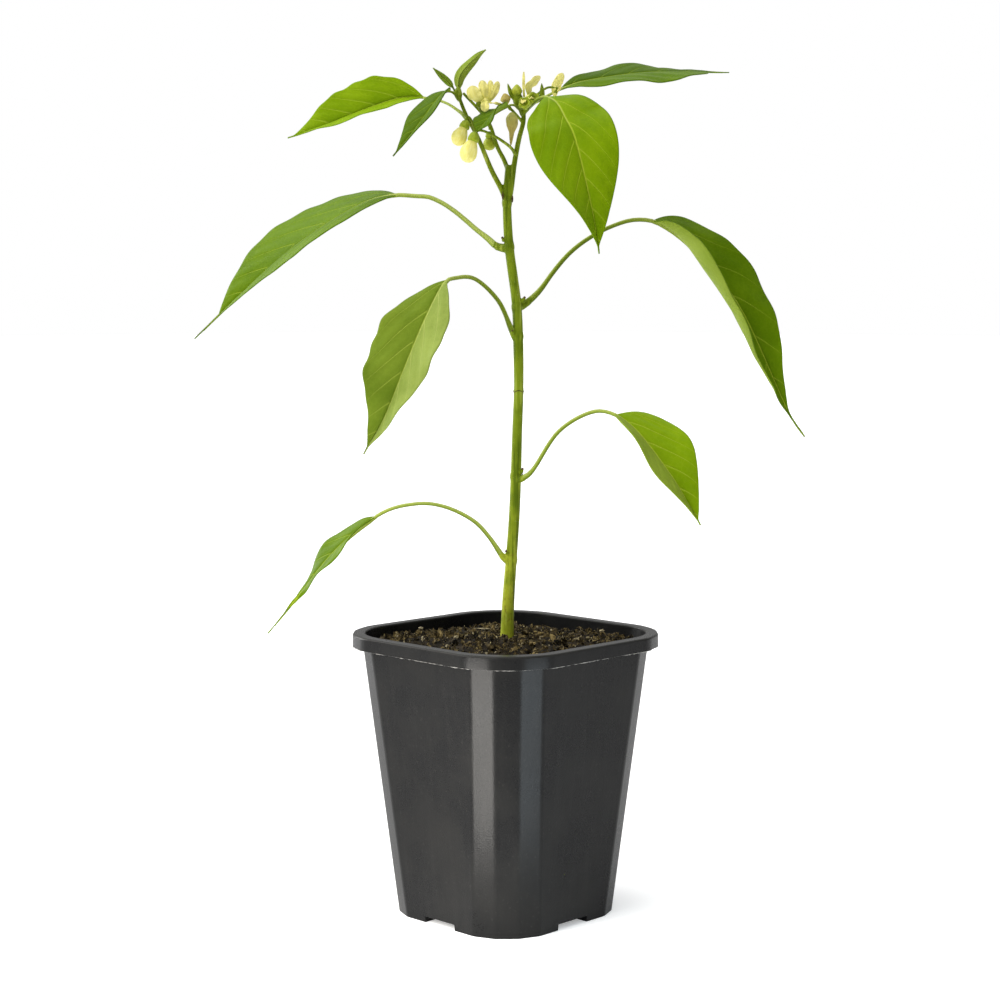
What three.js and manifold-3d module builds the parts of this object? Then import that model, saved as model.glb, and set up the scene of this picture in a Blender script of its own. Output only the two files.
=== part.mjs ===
// A young chilli pepper plant in a square nursery pot, in millimetres, +Z up.
// The origin is the centre of the pot's underside, and the pot's sides face X and Y.
import * as THREE from "three";
import { mergeVertices } from "three/addons/utils/BufferGeometryUtils.js";
import Module from "manifold-3d";

const wasm = await Module();
wasm.setup();

// Driving dimensions of the pot
const POT_HEIGHT = 121;
const RIM_ACROSS = 110; // across the flats of the rim
const BODY_TOP_ACROSS = 101.4; // across the flats of the wall, at the rim's lower edge
const BASE_ACROSS = 79;
const CORNER_TURN = Math.PI / 8; // each corner is three narrow facets, 22.5 degrees apart
const BASE_FACET = 9.6; // width of a corner facet at the base
const TOP_FACET = 10.5; // width of a corner facet at the rim's lower edge
const SKIRT_HEIGHT = 5.6; // the rim's downturned edge
const WALL = 1.4;
const FLOOR = 1.6;
const DRAIN_WIDTH = 17.5; // one drain recess in the middle of each side
const DRAIN_DEPTH = 13;
const DRAIN_HEIGHT = 2.6;
const DRAIN_HOLE_RADIUS = 3.5;

// Driving dimensions of the soil
const GAP = 0.3; // kept between neighbouring pieces
const SOIL_LEVEL = 118; // height of the soil round the stem
const SOIL_SIDE = 116; // height at which the soil meets the pot's wall
const SOIL_DIP = 3.5; // how much lower it lies in the corner behind the stem
const STEM_HOLE_RADIUS = 3.6;
const STEM_END = 74; // the stem is buried down to here

// Driving dimensions of the plant
const PLANT_TURN = Math.PI / 4; // the plant is set out across the pot's corners, then turned
const BLADE_THICKNESS = 0.8;
const PETAL_THICKNESS = 0.7;
const RIB_SHARE = 0.4; // of a blade's length, how far the stalk runs on under it
const CURL_WIDTH = 4; // half width below which a curled blade flattens out

const COLOURS = {
  pot: 0x2e2e30,
  soil: 0x3a2a1e,
  stem: 0x7d9a2a,
  leaf: 0x5c8f1c,
  youngLeaf: 0x74a52a,
  corolla: 0xe6dd9a,
  greenBud: 0x93a83a,
  withered: 0xb79a55,
};

// Main stem: centre line and radius, from its buried end to the topmost fork
const STEM_ROUTE = [
  [0.7, 0.2, STEM_END], [0.7, 0.2, 100], [0.7, 0.2, 118], [1.3, 0.5, 135.5], [2.6, 1, 153.5],
  [3.8, 1.2, 171.5], [4.5, 1, 189.5], [5, 0.4, 207.5], [5.6, -0.3, 226], [5.3, -0.6, 247.5],
  [4.5, -0.5, 262.5], [1.5, 0, 285.5], [0.6, 0.2, 305.5], [1.3, 0.2, 319],
];
const STEM_RADII = [3.1, 3.1, 3.05, 2.7, 2.45, 2.35, 2.3, 2.15, 2.05, 2.2, 2.05, 2, 1.85, 1.3];

// Branches above the fork and the stalks of the flowers: route, radius at each end
const BRANCHES = [
  { route: [[0.4, 0, 303], [-1.5, 0, 308.5], [-6, -1, 317], [-11.5, -2, 330], [-16.5, -2, 339.5],
    [-20, 0, 348.5]], radii: [1.3, 0.85] },
  { route: [[1.3, 0.2, 316], [-0.5, 2, 321], [-3.5, 3.5, 327], [-6.5, 4.5, 336], [-10, 4.5, 341],
    [-17.8, 2.5, 349]], radii: [1.1, 0.7] },
  { route: [[1.2, 0, 303], [2.4, 0, 309.5], [3.8, 0, 320], [5.7, 0, 330], [7.5, 0, 337],
    [7.4, -0.5, 343]], radii: [1.35, 1.1] },
  { route: [[4.4, 0, 322.5], [2.7, -4, 325.3], [-1, -8, 328], [-6.5, -11, 331], [-10.5, -12.3, 332.3],
    [-13, -12.5, 331.4]], radii: [0.8, 0.65] },
  { route: [[7.3, 0, 336.5], [5, -2, 339], [2.6, -4.5, 341.4]], radii: [0.7, 0.7] },
  { route: [[7.4, 0, 341], [9.5, -2.5, 343.5], [11, -3.5, 345.5]], radii: [0.9, 0.8] },
  { route: [[7.4, 0, 340], [10, 2.5, 345], [14, 3.5, 349], [18, 4, 351.5], [22.2, 4.3, 351.2]],
    radii: [0.8, 0.55] },
  { route: [[-6.5, 4.5, 336], [-6.6, 5.5, 335.2], [-6.6, 6, 334]], radii: [0.65, 0.65] },
  { route: [[-6.5, 4.5, 335], [-8.5, 1, 338.5], [-10.5, -3, 341.5], [-11, -5, 343.6]],
    radii: [0.75, 0.75] },
  { route: [[-12, -2, 331], [-14, -4.5, 336.5], [-15.6, -5.6, 338.4], [-16.8, -6.2, 337]],
    radii: [0.65, 0.65] },
];

// Leaves: one centre line for the leaf's stalk and midrib, and where along it the blade begins.
// A blade is half wide on each side, its outline set by the two powers in shape, and its last
// share is a narrow tail.
// Its surface is turned by heading and roll, folded along the midrib, and waved at its edges.
// One half of a curled blade rolls up by the degrees in curl, at its base and at its tip.
const LEAVES = [
  { name: "leaf_low_left", route: [[2, 0.5, 151], [-1, 1, 153], [-7, 3, 161.5], [-14, 5, 168.5],
    [-26, 8, 174], [-38.5, 11, 175], [-54.5, 15, 170], [-75, 19, 153], [-94, 22, 129], [-104, 22, 117]],
  from: 0.49, stalk: 0.9, half: 9.2, shape: [0.97, 1.18], skew: 0.03, tail: 0.27, heading: 185,
  roll: [-11, -26], fold: [26, 2], wave: [1.3, 2.6, -0.5] },
  { name: "leaf_low_right", route: [[4.5, 0.5, 186], [8, -2, 187.5], [12, -5, 191.5], [22, -13, 207.5],
    [35, -21, 216], [44.5, -27, 215.5], [54, -32, 208.5], [67, -38, 191.5], [74, -40, 180], [79, -41, 171]],
  from: 0.51, stalk: 0.9, half: 16.5, shape: [0.65, 1.14], skew: 0.05, tail: 0.03, heading: -24,
  roll: [8, 38], fold: [22, 37], wave: [1.4, 1.7, 2.9] },
  { name: "leaf_middle_left", route: [[5, -0.5, 245.5], [2.5, -2, 250], [-3, -7, 262], [-12.5, -15, 271],
    [-20.5, -21, 271.5], [-26, -25, 268.5], [-33.5, -30, 254], [-41.5, -33, 235], [-49.5, -34, 215.5],
    [-58.5, -31, 199.5]],
  from: 0.375, stalk: 0.95, half: 17.5, shape: [1.03, 1.28], skew: -0.04, tail: 0.03, heading: 237,
  roll: [-5, 2], fold: [12, 40], wave: [1.3, 3.1, 0] },
  { name: "leaf_middle_right", route: [[4.5, -0.5, 259], [7, 1, 260], [10.5, 2, 262.5], [15, 4, 267],
    [20.5, 6.5, 274.5], [27, 9.5, 282], [34.5, 12.5, 288], [44.5, 17, 293.5], [56, 21, 297],
    [67.5, 26, 295.5], [79, 30, 288], [89, 33, 277], [99.5, 35, 265.5], [107, 36, 253.5],
    [114.5, 37, 238], [121, 37, 223.5], [126.5, 36, 211.5], [132.5, 33, 202.5]],
  from: 0.39, stalk: 1, half: 19.2, shape: [0.76, 1.47], skew: -0.09, tail: 0.08, heading: -34.6,
  roll: [0.3, 77], fold: [18, 3.4], wave: [2.1, 3.18, 1.52], curl: [58, 138], grid: [18, 8] },
  { name: "leaf_high_left", route: [[1.5, 0, 284], [-3.5, 2, 285], [-7.5, 4.5, 288.5],
    [-12.5, 8, 292.5], [-17, 11, 296.5], [-22.5, 14, 301], [-29, 17.5, 305], [-36.5, 21, 307],
    [-58.5, 30, 306], [-90, 39, 288], [-117, 44, 265], [-137.5, 45, 245.5]],
  from: 0.344, stalk: 1.05, half: 25, shape: [0.77, 1.01], skew: 0, tail: 0.13, heading: 149,
  roll: [-21, -63], fold: [3, 34], wave: [0.5, 2.5, 2.8] },
  { name: "leaf_top_left", route: [[-16, -1, 338], [-19.5, 3, 341.5], [-27, 7, 346], [-40.5, 14, 348.5],
    [-54, 20, 346], [-82.5, 28, 336], [-94, 31, 332.5]],
  from: 0.265, stalk: 0.6, half: 13, shape: [0.96, 1.16], skew: -0.03, tail: 0.03, heading: 168,
  roll: [-69, -41], fold: [47, 37], wave: [0.8, 2.4, 1.7] },
  { name: "leaf_top_small_left", route: [[-19.5, -0.5, 347], [-23, -3, 349], [-27, -6, 347.3],
    [-37.5, -12, 333], [-46.5, -15, 321.5]],
  from: 0.11, stalk: 0.5, half: 8.8, shape: [0.71, 1.29], skew: -0.03, tail: 0.03, heading: 229,
  roll: [15, 2], fold: [15, 27], wave: [0.4, 1.8, -0.1], small: true },
  { name: "leaf_top_front", route: [[7.5, -0.8, 341], [11.5, -6.5, 344.2], [16, -12, 346], [20.5, -18, 343.5],
    [24, -23, 337], [28.5, -29, 326], [35, -36, 297], [37.5, -37, 281]],
  from: 0.169, stalk: 0.75, half: 18, shape: [0.72, 1.14], skew: -0.06, tail: 0.03, heading: -95,
  roll: [7, -32], fold: [1, 32], wave: [2, 1.4, 4.6] },
  { name: "leaf_top_right", route: [[7.6, 1, 341], [12.5, 7, 345.5], [17.5, 10.5, 348.5], [27, 16, 353.5],
    [36.5, 20, 356.5], [63, 31, 361], [98.5, 42, 362]],
  from: 0.217, stalk: 0.65, half: 13, shape: [0.96, 0.6], skew: -0.08, tail: 0.12, heading: -10,
  roll: [40, 8], fold: [11, 3], wave: [1.1, 2.4, 0.6] },
  { name: "leaf_top_small_centre", route: [[7, -1, 339.5], [4.8, -5, 342.5], [1.3, -8.5, 342.8],
    [-5.5, -12, 338.5], [-12, -14.5, 331.8]],
  from: 0.374, stalk: 0.5, half: 9.5, shape: [0.83, 0.89], skew: 0, tail: 0, heading: 214,
  roll: [24, -13], fold: [22, 20], wave: [0.8, 1.8, 2.4], small: true },
  { name: "leaf_shoot_tip", route: [[-19, 2, 348], [-19.6, 2, 352.3], [-19, 2, 356], [-16.4, 2.5, 359.7],
    [-12.1, 3.5, 364], [-8.2, 3, 367]],
  from: 0.12, stalk: 0.5, half: 2.9, shape: [0.6, 0.55], skew: 0, tail: 0, heading: -90,
  roll: [0, 10], fold: [28, 30], wave: [0.3, 1.5, 0], small: true },
  { name: "leaf_shoot_tiny", route: [[-20.8, 0.6, 348.4], [-22.8, 0, 352], [-30.2, -2, 358.8]],
  from: 0.2, stalk: 0.45, half: 1.5, shape: [0.5, 0.9], skew: 0, tail: 0, heading: -90,
  roll: [0, 0], fold: [15, 15], wave: [0, 1, 0], small: true },
];

// Flower buds hanging from their calyx: top of the calyx, way they point, length and radius
const BUDS = [
  { name: "bud_left", top: [-16.8, -6.2, 337.4], toward: [-0.42, -0.25, -1], length: 11, radius: 3.1,
    colour: COLOURS.corolla },
  { name: "bud_front", top: [-13, -12.5, 332], toward: [-0.3, -0.1, -1], length: 13, radius: 3.4,
    colour: COLOURS.corolla },
  { name: "bud_back", top: [-6.6, 6, 334.4], toward: [0, 0.05, -1], length: 9.5, radius: 2.3,
    colour: COLOURS.greenBud },
];
const CALYX_SHARE = 0.28; // of a bud's length

// Petals: centre line, half width, heading, roll
const FLOWERS = [
  { name: "flower_left", heart: [-11, -5.5, 345.2], heartRadius: 1.7, colour: COLOURS.corolla, petals: [
    [[[-11, -5.5, 345], [-13.6, -6.5, 348.5], [-14.6, -7, 352.4]], 2.6, -90, 0],
    [[[-11, -5.5, 345], [-11.6, -4, 349.5], [-11, -3.2, 354]], 2, -100, 10],
    [[[-10.8, -5.5, 345], [-8.6, -6.5, 349.5], [-8, -6.8, 353.6]], 2.3, -80, 0],
    [[[-10.6, -5.5, 345], [-6.2, -4, 348.5], [-3.8, -3, 353]], 2, -70, 10],
    [[[-10.4, -5.8, 344.8], [-6.5, -8, 344.6], [-2.2, -9.4, 344]], 2, -90, 0],
    [[[-11, -5.4, 344.8], [-15, -3, 346.5], [-17, -1.6, 350]], 2, -110, 0],
  ] },
  { name: "flower_right", heart: [11.3, -3.8, 347], heartRadius: 1.5, colour: COLOURS.corolla, petals: [
    [[[11.2, -3.8, 347], [10.6, -3.6, 350.5], [9.4, -3.2, 356.4]], 0.9, -90, 0],
    [[[11.5, -3.6, 347], [12.6, -2.6, 350], [15, -1.8, 354.2]], 2.6, -60, 15],
    [[[11.4, -4, 347], [12.6, -5.8, 348.4], [13.4, -7.2, 348]], 1.8, -90, 0],
    [[[11.2, -4, 347], [9.8, -6.6, 347.8], [8.6, -8.4, 347]], 1.6, -90, 0],
  ] },
  { name: "flower_behind", heart: [22.4, 4.3, 352], heartRadius: 1, colour: COLOURS.corolla, petals: [
    [[[22.3, 4.3, 351.8], [23, 4, 354.6], [25.2, 3.6, 358.4]], 2, -90, 10],
    [[[22.5, 4.4, 351.8], [22.6, 6, 354.2], [23.6, 7, 357]], 1.6, -120, 0],
  ] },
];

// Swollen and spent pieces of the cluster: centre line, radii along it
const LUMPS = [
  { name: "young_fruit", route: [[4.7, -3.6, 346.8], [4.7, -3.8, 348.6], [4.7, -4, 352]],
    radii: [1.4, 2.3, 0.9], colour: COLOURS.greenBud },
  { name: "withered_bud", route: [[0.9, -5.4, 343.6], [0.1, -6.1, 345.5], [-0.6, -6.6, 348]],
    radii: [0.9, 2.2, 1], colour: COLOURS.withered },
  { name: "withered_flower", route: [[2.5, -5, 340.4], [2.3, -5.2, 337.6], [2.2, -5.4, 333.4],
    [1.8, -5.6, 326.6]], radii: [1.1, 2.3, 1.5, 0.6], colour: COLOURS.withered },
];

// Green cups and points that carry the flowers, part of the stem: route, radii along it
const GREEN_CUPS = [
  { route: [[7.4, -0.5, 341.5], [6, -2, 344], [4.9, -3.4, 346.3]], radii: [1.2, 1.8, 1.9] },
  { route: [[10.4, -3.2, 344.4], [11, -3.6, 345.6], [11.3, -3.9, 346.2]], radii: [1, 2.2, 1.3] },
  { route: [[5.2, -2.8, 344.8], [2.6, -3.6, 348], [1.2, -4, 352.6]], radii: [1.1, 1, 0.45] },
  { route: [[11, -3.4, 345.4], [14.4, -4.6, 346.6], [15.2, -5, 351]], radii: [1, 0.9, 0.45] },
  { route: [[2.4, -4.2, 341.2], [1.5, -4.9, 342.4], [1, -5.3, 343.2]], radii: [0.8, 0.8, 0.8] },
  { route: [[-11, -4.9, 343], [-11, -5.2, 344], [-11, -5.4, 344.6]], radii: [0.8, 1.5, 1.2] },
  { route: [[21.8, 4.3, 351.2], [22.3, 4.3, 351.3], [22.5, 4.3, 351.4]], radii: [0.6, 0.8, 0.7] },
];

const vector = (p) => new THREE.Vector3(...p);
const spline = (route) => new THREE.CatmullRomCurve3(route.map(vector), false, "catmullrom", 0.5);
const mix = (pair, t) => pair[0] + (pair[1] - pair[0]) * t;
const radians = THREE.MathUtils.degToRad;

function along(values, t) {
  const place = t * (values.length - 1);
  const before = Math.min(Math.floor(place), values.length - 2);
  return mix([values[before], values[before + 1]], place - before);
}

function solid(geometry) {
  const bare = new THREE.BufferGeometry();
  bare.setAttribute("position", geometry.getAttribute("position"));
  if (geometry.index) bare.setIndex(geometry.index);
  const merged = mergeVertices(bare, 1e-4);
  return new wasm.Manifold(
    new wasm.Mesh({
      numProp: 3,
      vertProperties: new Float32Array(merged.attributes.position.array),
      triVerts: new Uint32Array(merged.index.array),
    }),
  );
}

function geometryOf(body) {
  const { numProp, vertProperties, triVerts } = body.getMesh();
  const positions = new Float32Array((vertProperties.length / numProp) * 3);
  for (let i = 0; i < positions.length / 3; i++)
    positions.set(vertProperties.subarray(i * numProp, i * numProp + 3), i * 3);
  const geometry = new THREE.BufferGeometry();
  geometry.setAttribute("position", new THREE.BufferAttribute(positions, 3));
  geometry.setIndex(new THREE.BufferAttribute(new Uint32Array(triVerts), 1));
  const flat = geometry.toNonIndexed();
  flat.computeVertexNormals();
  return flat;
}

function fromTriangles(points, triangles) {
  const geometry = new THREE.BufferGeometry().setFromPoints(points);
  geometry.setIndex(triangles.flat());
  return geometry;
}

// The largest body of a solid, so that a cut leaves no loose scraps
function largest(body) {
  return body.decompose().sort((a, b) => b.volume() - a.volume())[0];
}

const joined = (bodies) => bodies.reduce((sum, body) => sum.add(body));

// A skin over a row of equal rings, closed at both ends
function loft(rings) {
  const count = rings[0].length;
  const points = rings.flat();
  const triangles = [];
  for (let i = 0; i + 1 < rings.length; i++)
    for (let j = 0; j < count; j++) {
      const a = i * count + j;
      const b = i * count + ((j + 1) % count);
      triangles.push([a, b, b + count], [a, b + count, a + count]);
    }
  const last = (rings.length - 1) * count;
  for (const [ring, first] of [[rings[0], 0], [rings.at(-1), last]]) {
    const middle = ring.reduce((sum, p) => sum.add(p), new THREE.Vector3()).divideScalar(count);
    const centre = points.push(middle) - 1;
    for (let j = 0; j < count; j++) {
      const edge = [first + j, first + ((j + 1) % count)];
      triangles.push(first === 0 ? [centre, edge[1], edge[0]] : [centre, ...edge]);
    }
  }
  return fromTriangles(points, triangles);
}

// A round bar along a route, its radius read off along it, with both ends rounded off
function bar(route, radii, { steps = 8, sides = 8, grow = 0, from = 0, to = 1, ribs = 0 } = {}) {
  const curve = spline(route);
  const rings = [];
  let across = null;
  const ring = (u, radius, shift) => {
    const centre = curve.getPointAt(u);
    const tangent = curve.getTangentAt(u);
    across ??= new THREE.Vector3(0.31, 0.95, 0.02);
    across = across.clone().addScaledVector(tangent, -across.dot(tangent)).normalize();
    const other = tangent.clone().cross(across);
    rings.push(Array.from({ length: sides }, (_, j) => {
      const angle = (2 * Math.PI * j) / sides;
      const reach = radius * (1 + (ribs && j % 2 ? ribs : 0));
      return centre.clone().addScaledVector(tangent, shift)
        .addScaledVector(across, Math.cos(angle) * reach)
        .addScaledVector(other, Math.sin(angle) * reach);
    }));
  };
  const [first, last] = [along(radii, from), along(radii, to)];
  ring(from, first * 0.55 + grow, -first * 0.5 - grow);
  for (let i = 0; i <= steps; i++) {
    const u = mix([from, to], i / steps);
    ring(u, along(radii, u) + grow, 0);
  }
  ring(to, last * 0.55 + grow, last * 0.5 + grow);
  return solid(loft(rings));
}

// Half the width of a blade at a share t of its length
function halfWidth(leaf, t) {
  const [rise, fall] = leaf.shape;
  const widest = rise / (rise + fall);
  const place = Math.min(t / (1 - leaf.tail), 1);
  const share = (place / widest) ** rise * ((1 - place) / (1 - widest)) ** fall;
  return Math.max(leaf.half * share, 0.5);
}

// A point of a blade: t runs from its base to its tip, s from one edge to the other
function bladePoint(leaf, curve, t, s) {
  const u = mix([leaf.from, 1], t);
  const tangent = curve.getTangentAt(u);
  const heading = radians(leaf.heading);
  const side = new THREE.Vector3(-Math.sin(heading), Math.cos(heading), 0);
  side.addScaledVector(tangent, -side.dot(tangent)).normalize();
  side.applyAxisAngle(tangent, radians(mix(leaf.roll, t)));
  const face = tangent.clone().cross(side);
  const fold = radians(mix(leaf.fold, t));
  const reach = halfWidth(leaf, t);
  const width = reach * Math.abs(s) * (1 + Math.sign(s) * leaf.skew);
  const curled = leaf.curl && s < 0;
  const easing = Math.min(1, reach / CURL_WIDTH);
  const turn = curled ? (radians(mix(leaf.curl, t)) * easing * Math.abs(s)) / 2 : 0;
  const chord = turn ? (width * Math.sin(turn)) / turn : width;
  const arch = curled ? 0 : 0.12 * width * Math.abs(s);
  const [waveHeight, waves, phase] = leaf.wave;
  const swing = Math.sin(2 * Math.PI * waves * t + phase + (s < 0 ? 2 : 0)) * Math.sin(Math.PI * t);
  const rise = chord * Math.sin(fold + turn) - arch + waveHeight * s * s * swing;
  return curve.getPointAt(u)
    .addScaledVector(side, Math.sign(s) * chord * Math.cos(fold + turn))
    .addScaledVector(face, rise);
}

// A thin closed slab over a grid of points, split into triangles alike on both faces
function slab(grid, thickness) {
  const rows = grid.length;
  const columns = grid[0].length;
  const clamp = (i, n) => Math.max(0, Math.min(n - 1, i));
  const points = [];
  for (const face of [1, -1])
    for (let i = 0; i < rows; i++)
      for (let k = 0; k < columns; k++) {
        const down = grid[clamp(i + 1, rows)][k].clone().sub(grid[clamp(i - 1, rows)][k]);
        const over = grid[i][clamp(k + 1, columns)].clone().sub(grid[i][clamp(k - 1, columns)]);
        const normal = down.cross(over).normalize();
        points.push(grid[i][k].clone().addScaledVector(normal, (face * thickness) / 2));
      }
  const lower = rows * columns;
  const at = (i, k) => i * columns + k;
  const triangles = [];
  for (let i = 0; i + 1 < rows; i++)
    for (let k = 0; k + 1 < columns; k++) {
      const [a, b, c, d] = [at(i, k), at(i + 1, k), at(i + 1, k + 1), at(i, k + 1)];
      triangles.push([a, b, c], [a, c, d]);
      triangles.push([a + lower, c + lower, b + lower], [a + lower, d + lower, c + lower]);
    }
  const border = [];
  for (let k = 0; k + 1 < columns; k++) border.push(at(0, k));
  for (let i = 0; i + 1 < rows; i++) border.push(at(i, columns - 1));
  for (let k = columns - 1; k > 0; k--) border.push(at(rows - 1, k));
  for (let i = rows - 1; i > 0; i--) border.push(at(i, 0));
  border.forEach((a, n) => {
    const b = border[(n + 1) % border.length];
    triangles.push([a, b, b + lower], [a, b + lower, a + lower]);
  });
  return solid(fromTriangles(points, triangles));
}

function blade(leaf, thickness) {
  const curve = spline(leaf.route);
  const [rows, columns] = leaf.grid ?? (leaf.small ? [8, 4] : [15, 4]);
  const grid = Array.from({ length: rows + 1 }, (_, i) =>
    Array.from({ length: columns + 1 }, (_, k) => bladePoint(leaf, curve, i / rows, 1 - (2 * k) / columns)));
  return slab(grid, thickness);
}

// A leaf: its stalk, which runs on under the blade as the midrib, and its blade
function leafBody(leaf) {
  const radii = [leaf.stalk, leaf.stalk];
  const parts = [bar(leaf.route, radii, { steps: leaf.small ? 4 : 12, sides: 6, to: leaf.from })];
  const ribEnd = mix([leaf.from, 1], RIB_SHARE);
  if (!leaf.small)
    parts.push(bar(leaf.route, radii, { steps: 3, sides: 5, from: leaf.from - 0.01, to: ribEnd }));
  return joined([...parts, blade(leaf, BLADE_THICKNESS)]);
}

// The stem with its branches, flower stalks and green cups; grow widens all of it
function stemBody(grow = 0) {
  const main = bar(STEM_ROUTE, STEM_RADII, { steps: 18, sides: 10, grow });
  const branches = BRANCHES.map(({ route, radii }) => bar(route, radii, { steps: 6, sides: 6, grow }));
  const cups = GREEN_CUPS.map(({ route, radii }) => bar(route, radii, { steps: 3, sides: 6, grow }));
  const knuckles = LEAVES.filter(({ small }) => !small).map(({ route, stalk }) =>
    bar(route, [stalk * 1.5, stalk * 1.5, stalk], { steps: 2, sides: 6, grow, to: 0.032 }));
  const calyces = BUDS.map((bud) => budPiece(bud, 0, CALYX_SHARE, 1.12, grow));
  return joined([main, ...branches, ...cups, ...knuckles, ...calyces]);
}

// Part of a bud between two shares of its length
function budPiece({ top, toward, length, radius }, from, to, widen, grow = 0) {
  const start = vector(top);
  const end = start.clone().addScaledVector(vector(toward).normalize(), length);
  const profile = [0.18, 0.62, 0.86, 0.98, 1, 0.93, 0.74, 0.42].map((share) => share * radius * widen);
  const route = [start, start.clone().lerp(end, 0.5), end].map((p) => p.toArray());
  return bar(route, profile, { steps: Math.ceil(9 * (to - from)), sides: 10, grow, from, to });
}

// Cross-section of the pot at a height: four long sides joined by three facets at each corner
function section(across, facet, z, longSteps = 1, facetSteps = 1) {
  const corner = facet * (Math.cos(CORNER_TURN) + Math.sin(CORNER_TURN) + Math.SQRT1_2);
  const points = [];
  const walk = new THREE.Vector3(across / 2, corner - across / 2, z);
  for (let side = 0; side < 4; side++)
    for (let part = 0; part < 4; part++) {
      const angle = (Math.PI / 2) * (side + 1) + CORNER_TURN * part;
      const [length, steps] = part === 0 ? [across - 2 * corner, longSteps] : [facet, facetSteps];
      for (let step = 0; step < steps; step++) {
        points.push(walk.clone());
        walk.x += (Math.cos(angle) * length) / steps;
        walk.y += (Math.sin(angle) * length) / steps;
      }
    }
  return points;
}

// The wall's section at a height, moved outwards by offset
function wallSection(z, offset, longSteps, facetSteps) {
  const share = z / (POT_HEIGHT - SKIRT_HEIGHT);
  const across = mix([BASE_ACROSS, BODY_TOP_ACROSS], share) + 2 * offset;
  const facet = mix([BASE_FACET, TOP_FACET], share) + 2 * offset * Math.tan(CORNER_TURN / 2);
  return section(across, facet, z, longSteps, facetSteps);
}

function rimSection(z, inset) {
  const offset = (RIM_ACROSS - BODY_TOP_ACROSS) / 2 - inset;
  const facet = TOP_FACET + 2 * offset * Math.tan(CORNER_TURN / 2);
  return section(RIM_ACROSS - 2 * inset, facet, z);
}

function box(width, depth, height, x, y, z) {
  return solid(new THREE.BoxGeometry(width, depth, height).translate(x, y, z + height / 2));
}

function cylinder(radius, height, x, y, z, sides = 16) {
  const geometry = new THREE.CylinderGeometry(radius, radius, height, sides);
  return solid(geometry.rotateX(Math.PI / 2).translate(x, y, z + height / 2));
}

const quarterTurns = (body) => joined([0, 90, 180, 270].map((turn) => body.rotate([0, 0, turn])));

// Raised roofs of the four drain recesses, larger all round by grow
function drainRoofs(grow) {
  const width = DRAIN_WIDTH + 2 * (WALL + grow);
  const reach = BASE_ACROSS / 2;
  const depth = DRAIN_DEPTH + WALL + grow;
  const height = DRAIN_HEIGHT + FLOOR + grow;
  return quarterTurns(box(width, depth, height, 0, depth / 2 - reach, 0));
}

function potBody() {
  const skirtTop = POT_HEIGHT - SKIRT_HEIGHT;
  const wall = solid(loft([wallSection(0, 0), wallSection(POT_HEIGHT, 0)]));
  const rim = solid(loft([rimSection(skirtTop, 0), rimSection(POT_HEIGHT, 0)]));
  const channel = solid(loft([rimSection(skirtTop - 1, WALL), rimSection(POT_HEIGHT - WALL, WALL)]))
    .subtract(solid(loft([wallSection(skirtTop - 2, 0), wallSection(POT_HEIGHT, 0)])));
  const inside = solid(loft([wallSection(FLOOR, -WALL), wallSection(POT_HEIGHT + 1, -WALL)]));
  const outer = wall.add(rim);
  const roofs = drainRoofs(0).intersect(wall);
  const recessY = (DRAIN_DEPTH - 5 - BASE_ACROSS) / 2;
  const recess = box(DRAIN_WIDTH, DRAIN_DEPTH + 5, DRAIN_HEIGHT + 1, 0, recessY, -1);
  const holeY = DRAIN_DEPTH / 2 + WALL - BASE_ACROSS / 2;
  const hole = cylinder(DRAIN_HOLE_RADIUS, 6, 0, holeY, 1);
  return outer.subtract(inside).add(roofs).subtract(channel)
    .subtract(quarterTurns(recess)).subtract(quarterTurns(hole));
}

// Height of the soil: level round the stem, lower at the wall and behind, with crumbs and hollows
function soilHeight(x, y, edge) {
  const behind = Math.max(0, (y - x) / BODY_TOP_ACROSS);
  const crumbs = Math.sin(0.61 * x + 1.3) * Math.cos(0.53 * y - 0.6)
    + 0.7 * Math.sin(1.13 * x - 0.87 * y + 2.1) + 0.5 * Math.sin(1.9 * y + 0.7 * x);
  return mix([SOIL_LEVEL, SOIL_SIDE], edge ** 4) - SOIL_DIP * behind ** 1.5 + 0.5 * crumbs;
}

function soilBody() {
  const inset = -WALL - GAP;
  const [longSteps, facetSteps] = [5, 1];
  const lowest = SOIL_SIDE - SOIL_DIP - 2;
  const rings = [wallSection(FLOOR + GAP, inset, longSteps, facetSteps)];
  const topRings = 13;
  for (let i = 0; i < topRings; i++) {
    const edge = 1 - i / topRings;
    rings.push(wallSection(lowest, inset, longSteps, facetSteps).map((p) => {
      const [x, y] = [p.x * edge, p.y * edge];
      return new THREE.Vector3(x, y, soilHeight(x, y, edge));
    }));
  }
  const [stemX, stemY] = STEM_ROUTE[0];
  const turned = new THREE.Vector2(stemX, stemY).rotateAround(new THREE.Vector2(), PLANT_TURN);
  const hole = cylinder(STEM_HOLE_RADIUS, POT_HEIGHT, turned.x, turned.y, STEM_END - 3, 20);
  return solid(loft(rings)).subtract(hole).subtract(drainRoofs(GAP));
}

function addNode(group, name, body, colour, roughness = 0.6) {
  const material = new THREE.MeshStandardMaterial({ color: colour, roughness, metalness: 0 });
  const mesh = new THREE.Mesh(geometryOf(body), material);
  mesh.name = name;
  group.add(mesh);
}

const pottedPlant = new THREE.Group();
addNode(pottedPlant, "pot", potBody(), COLOURS.pot, 0.45);
addNode(pottedPlant, "soil", soilBody(), COLOURS.soil, 0.95);

const plant = new THREE.Group();
plant.rotation.z = PLANT_TURN;
pottedPlant.add(plant);
const stem = stemBody();
const stemClearance = stemBody(GAP);
addNode(plant, "stem", stem, COLOURS.stem, 0.45);

for (const leaf of LEAVES) {
  const body = largest(leafBody(leaf).subtract(stemClearance));
  addNode(plant, leaf.name, body, leaf.small ? COLOURS.youngLeaf : COLOURS.leaf, 0.4);
}

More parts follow.
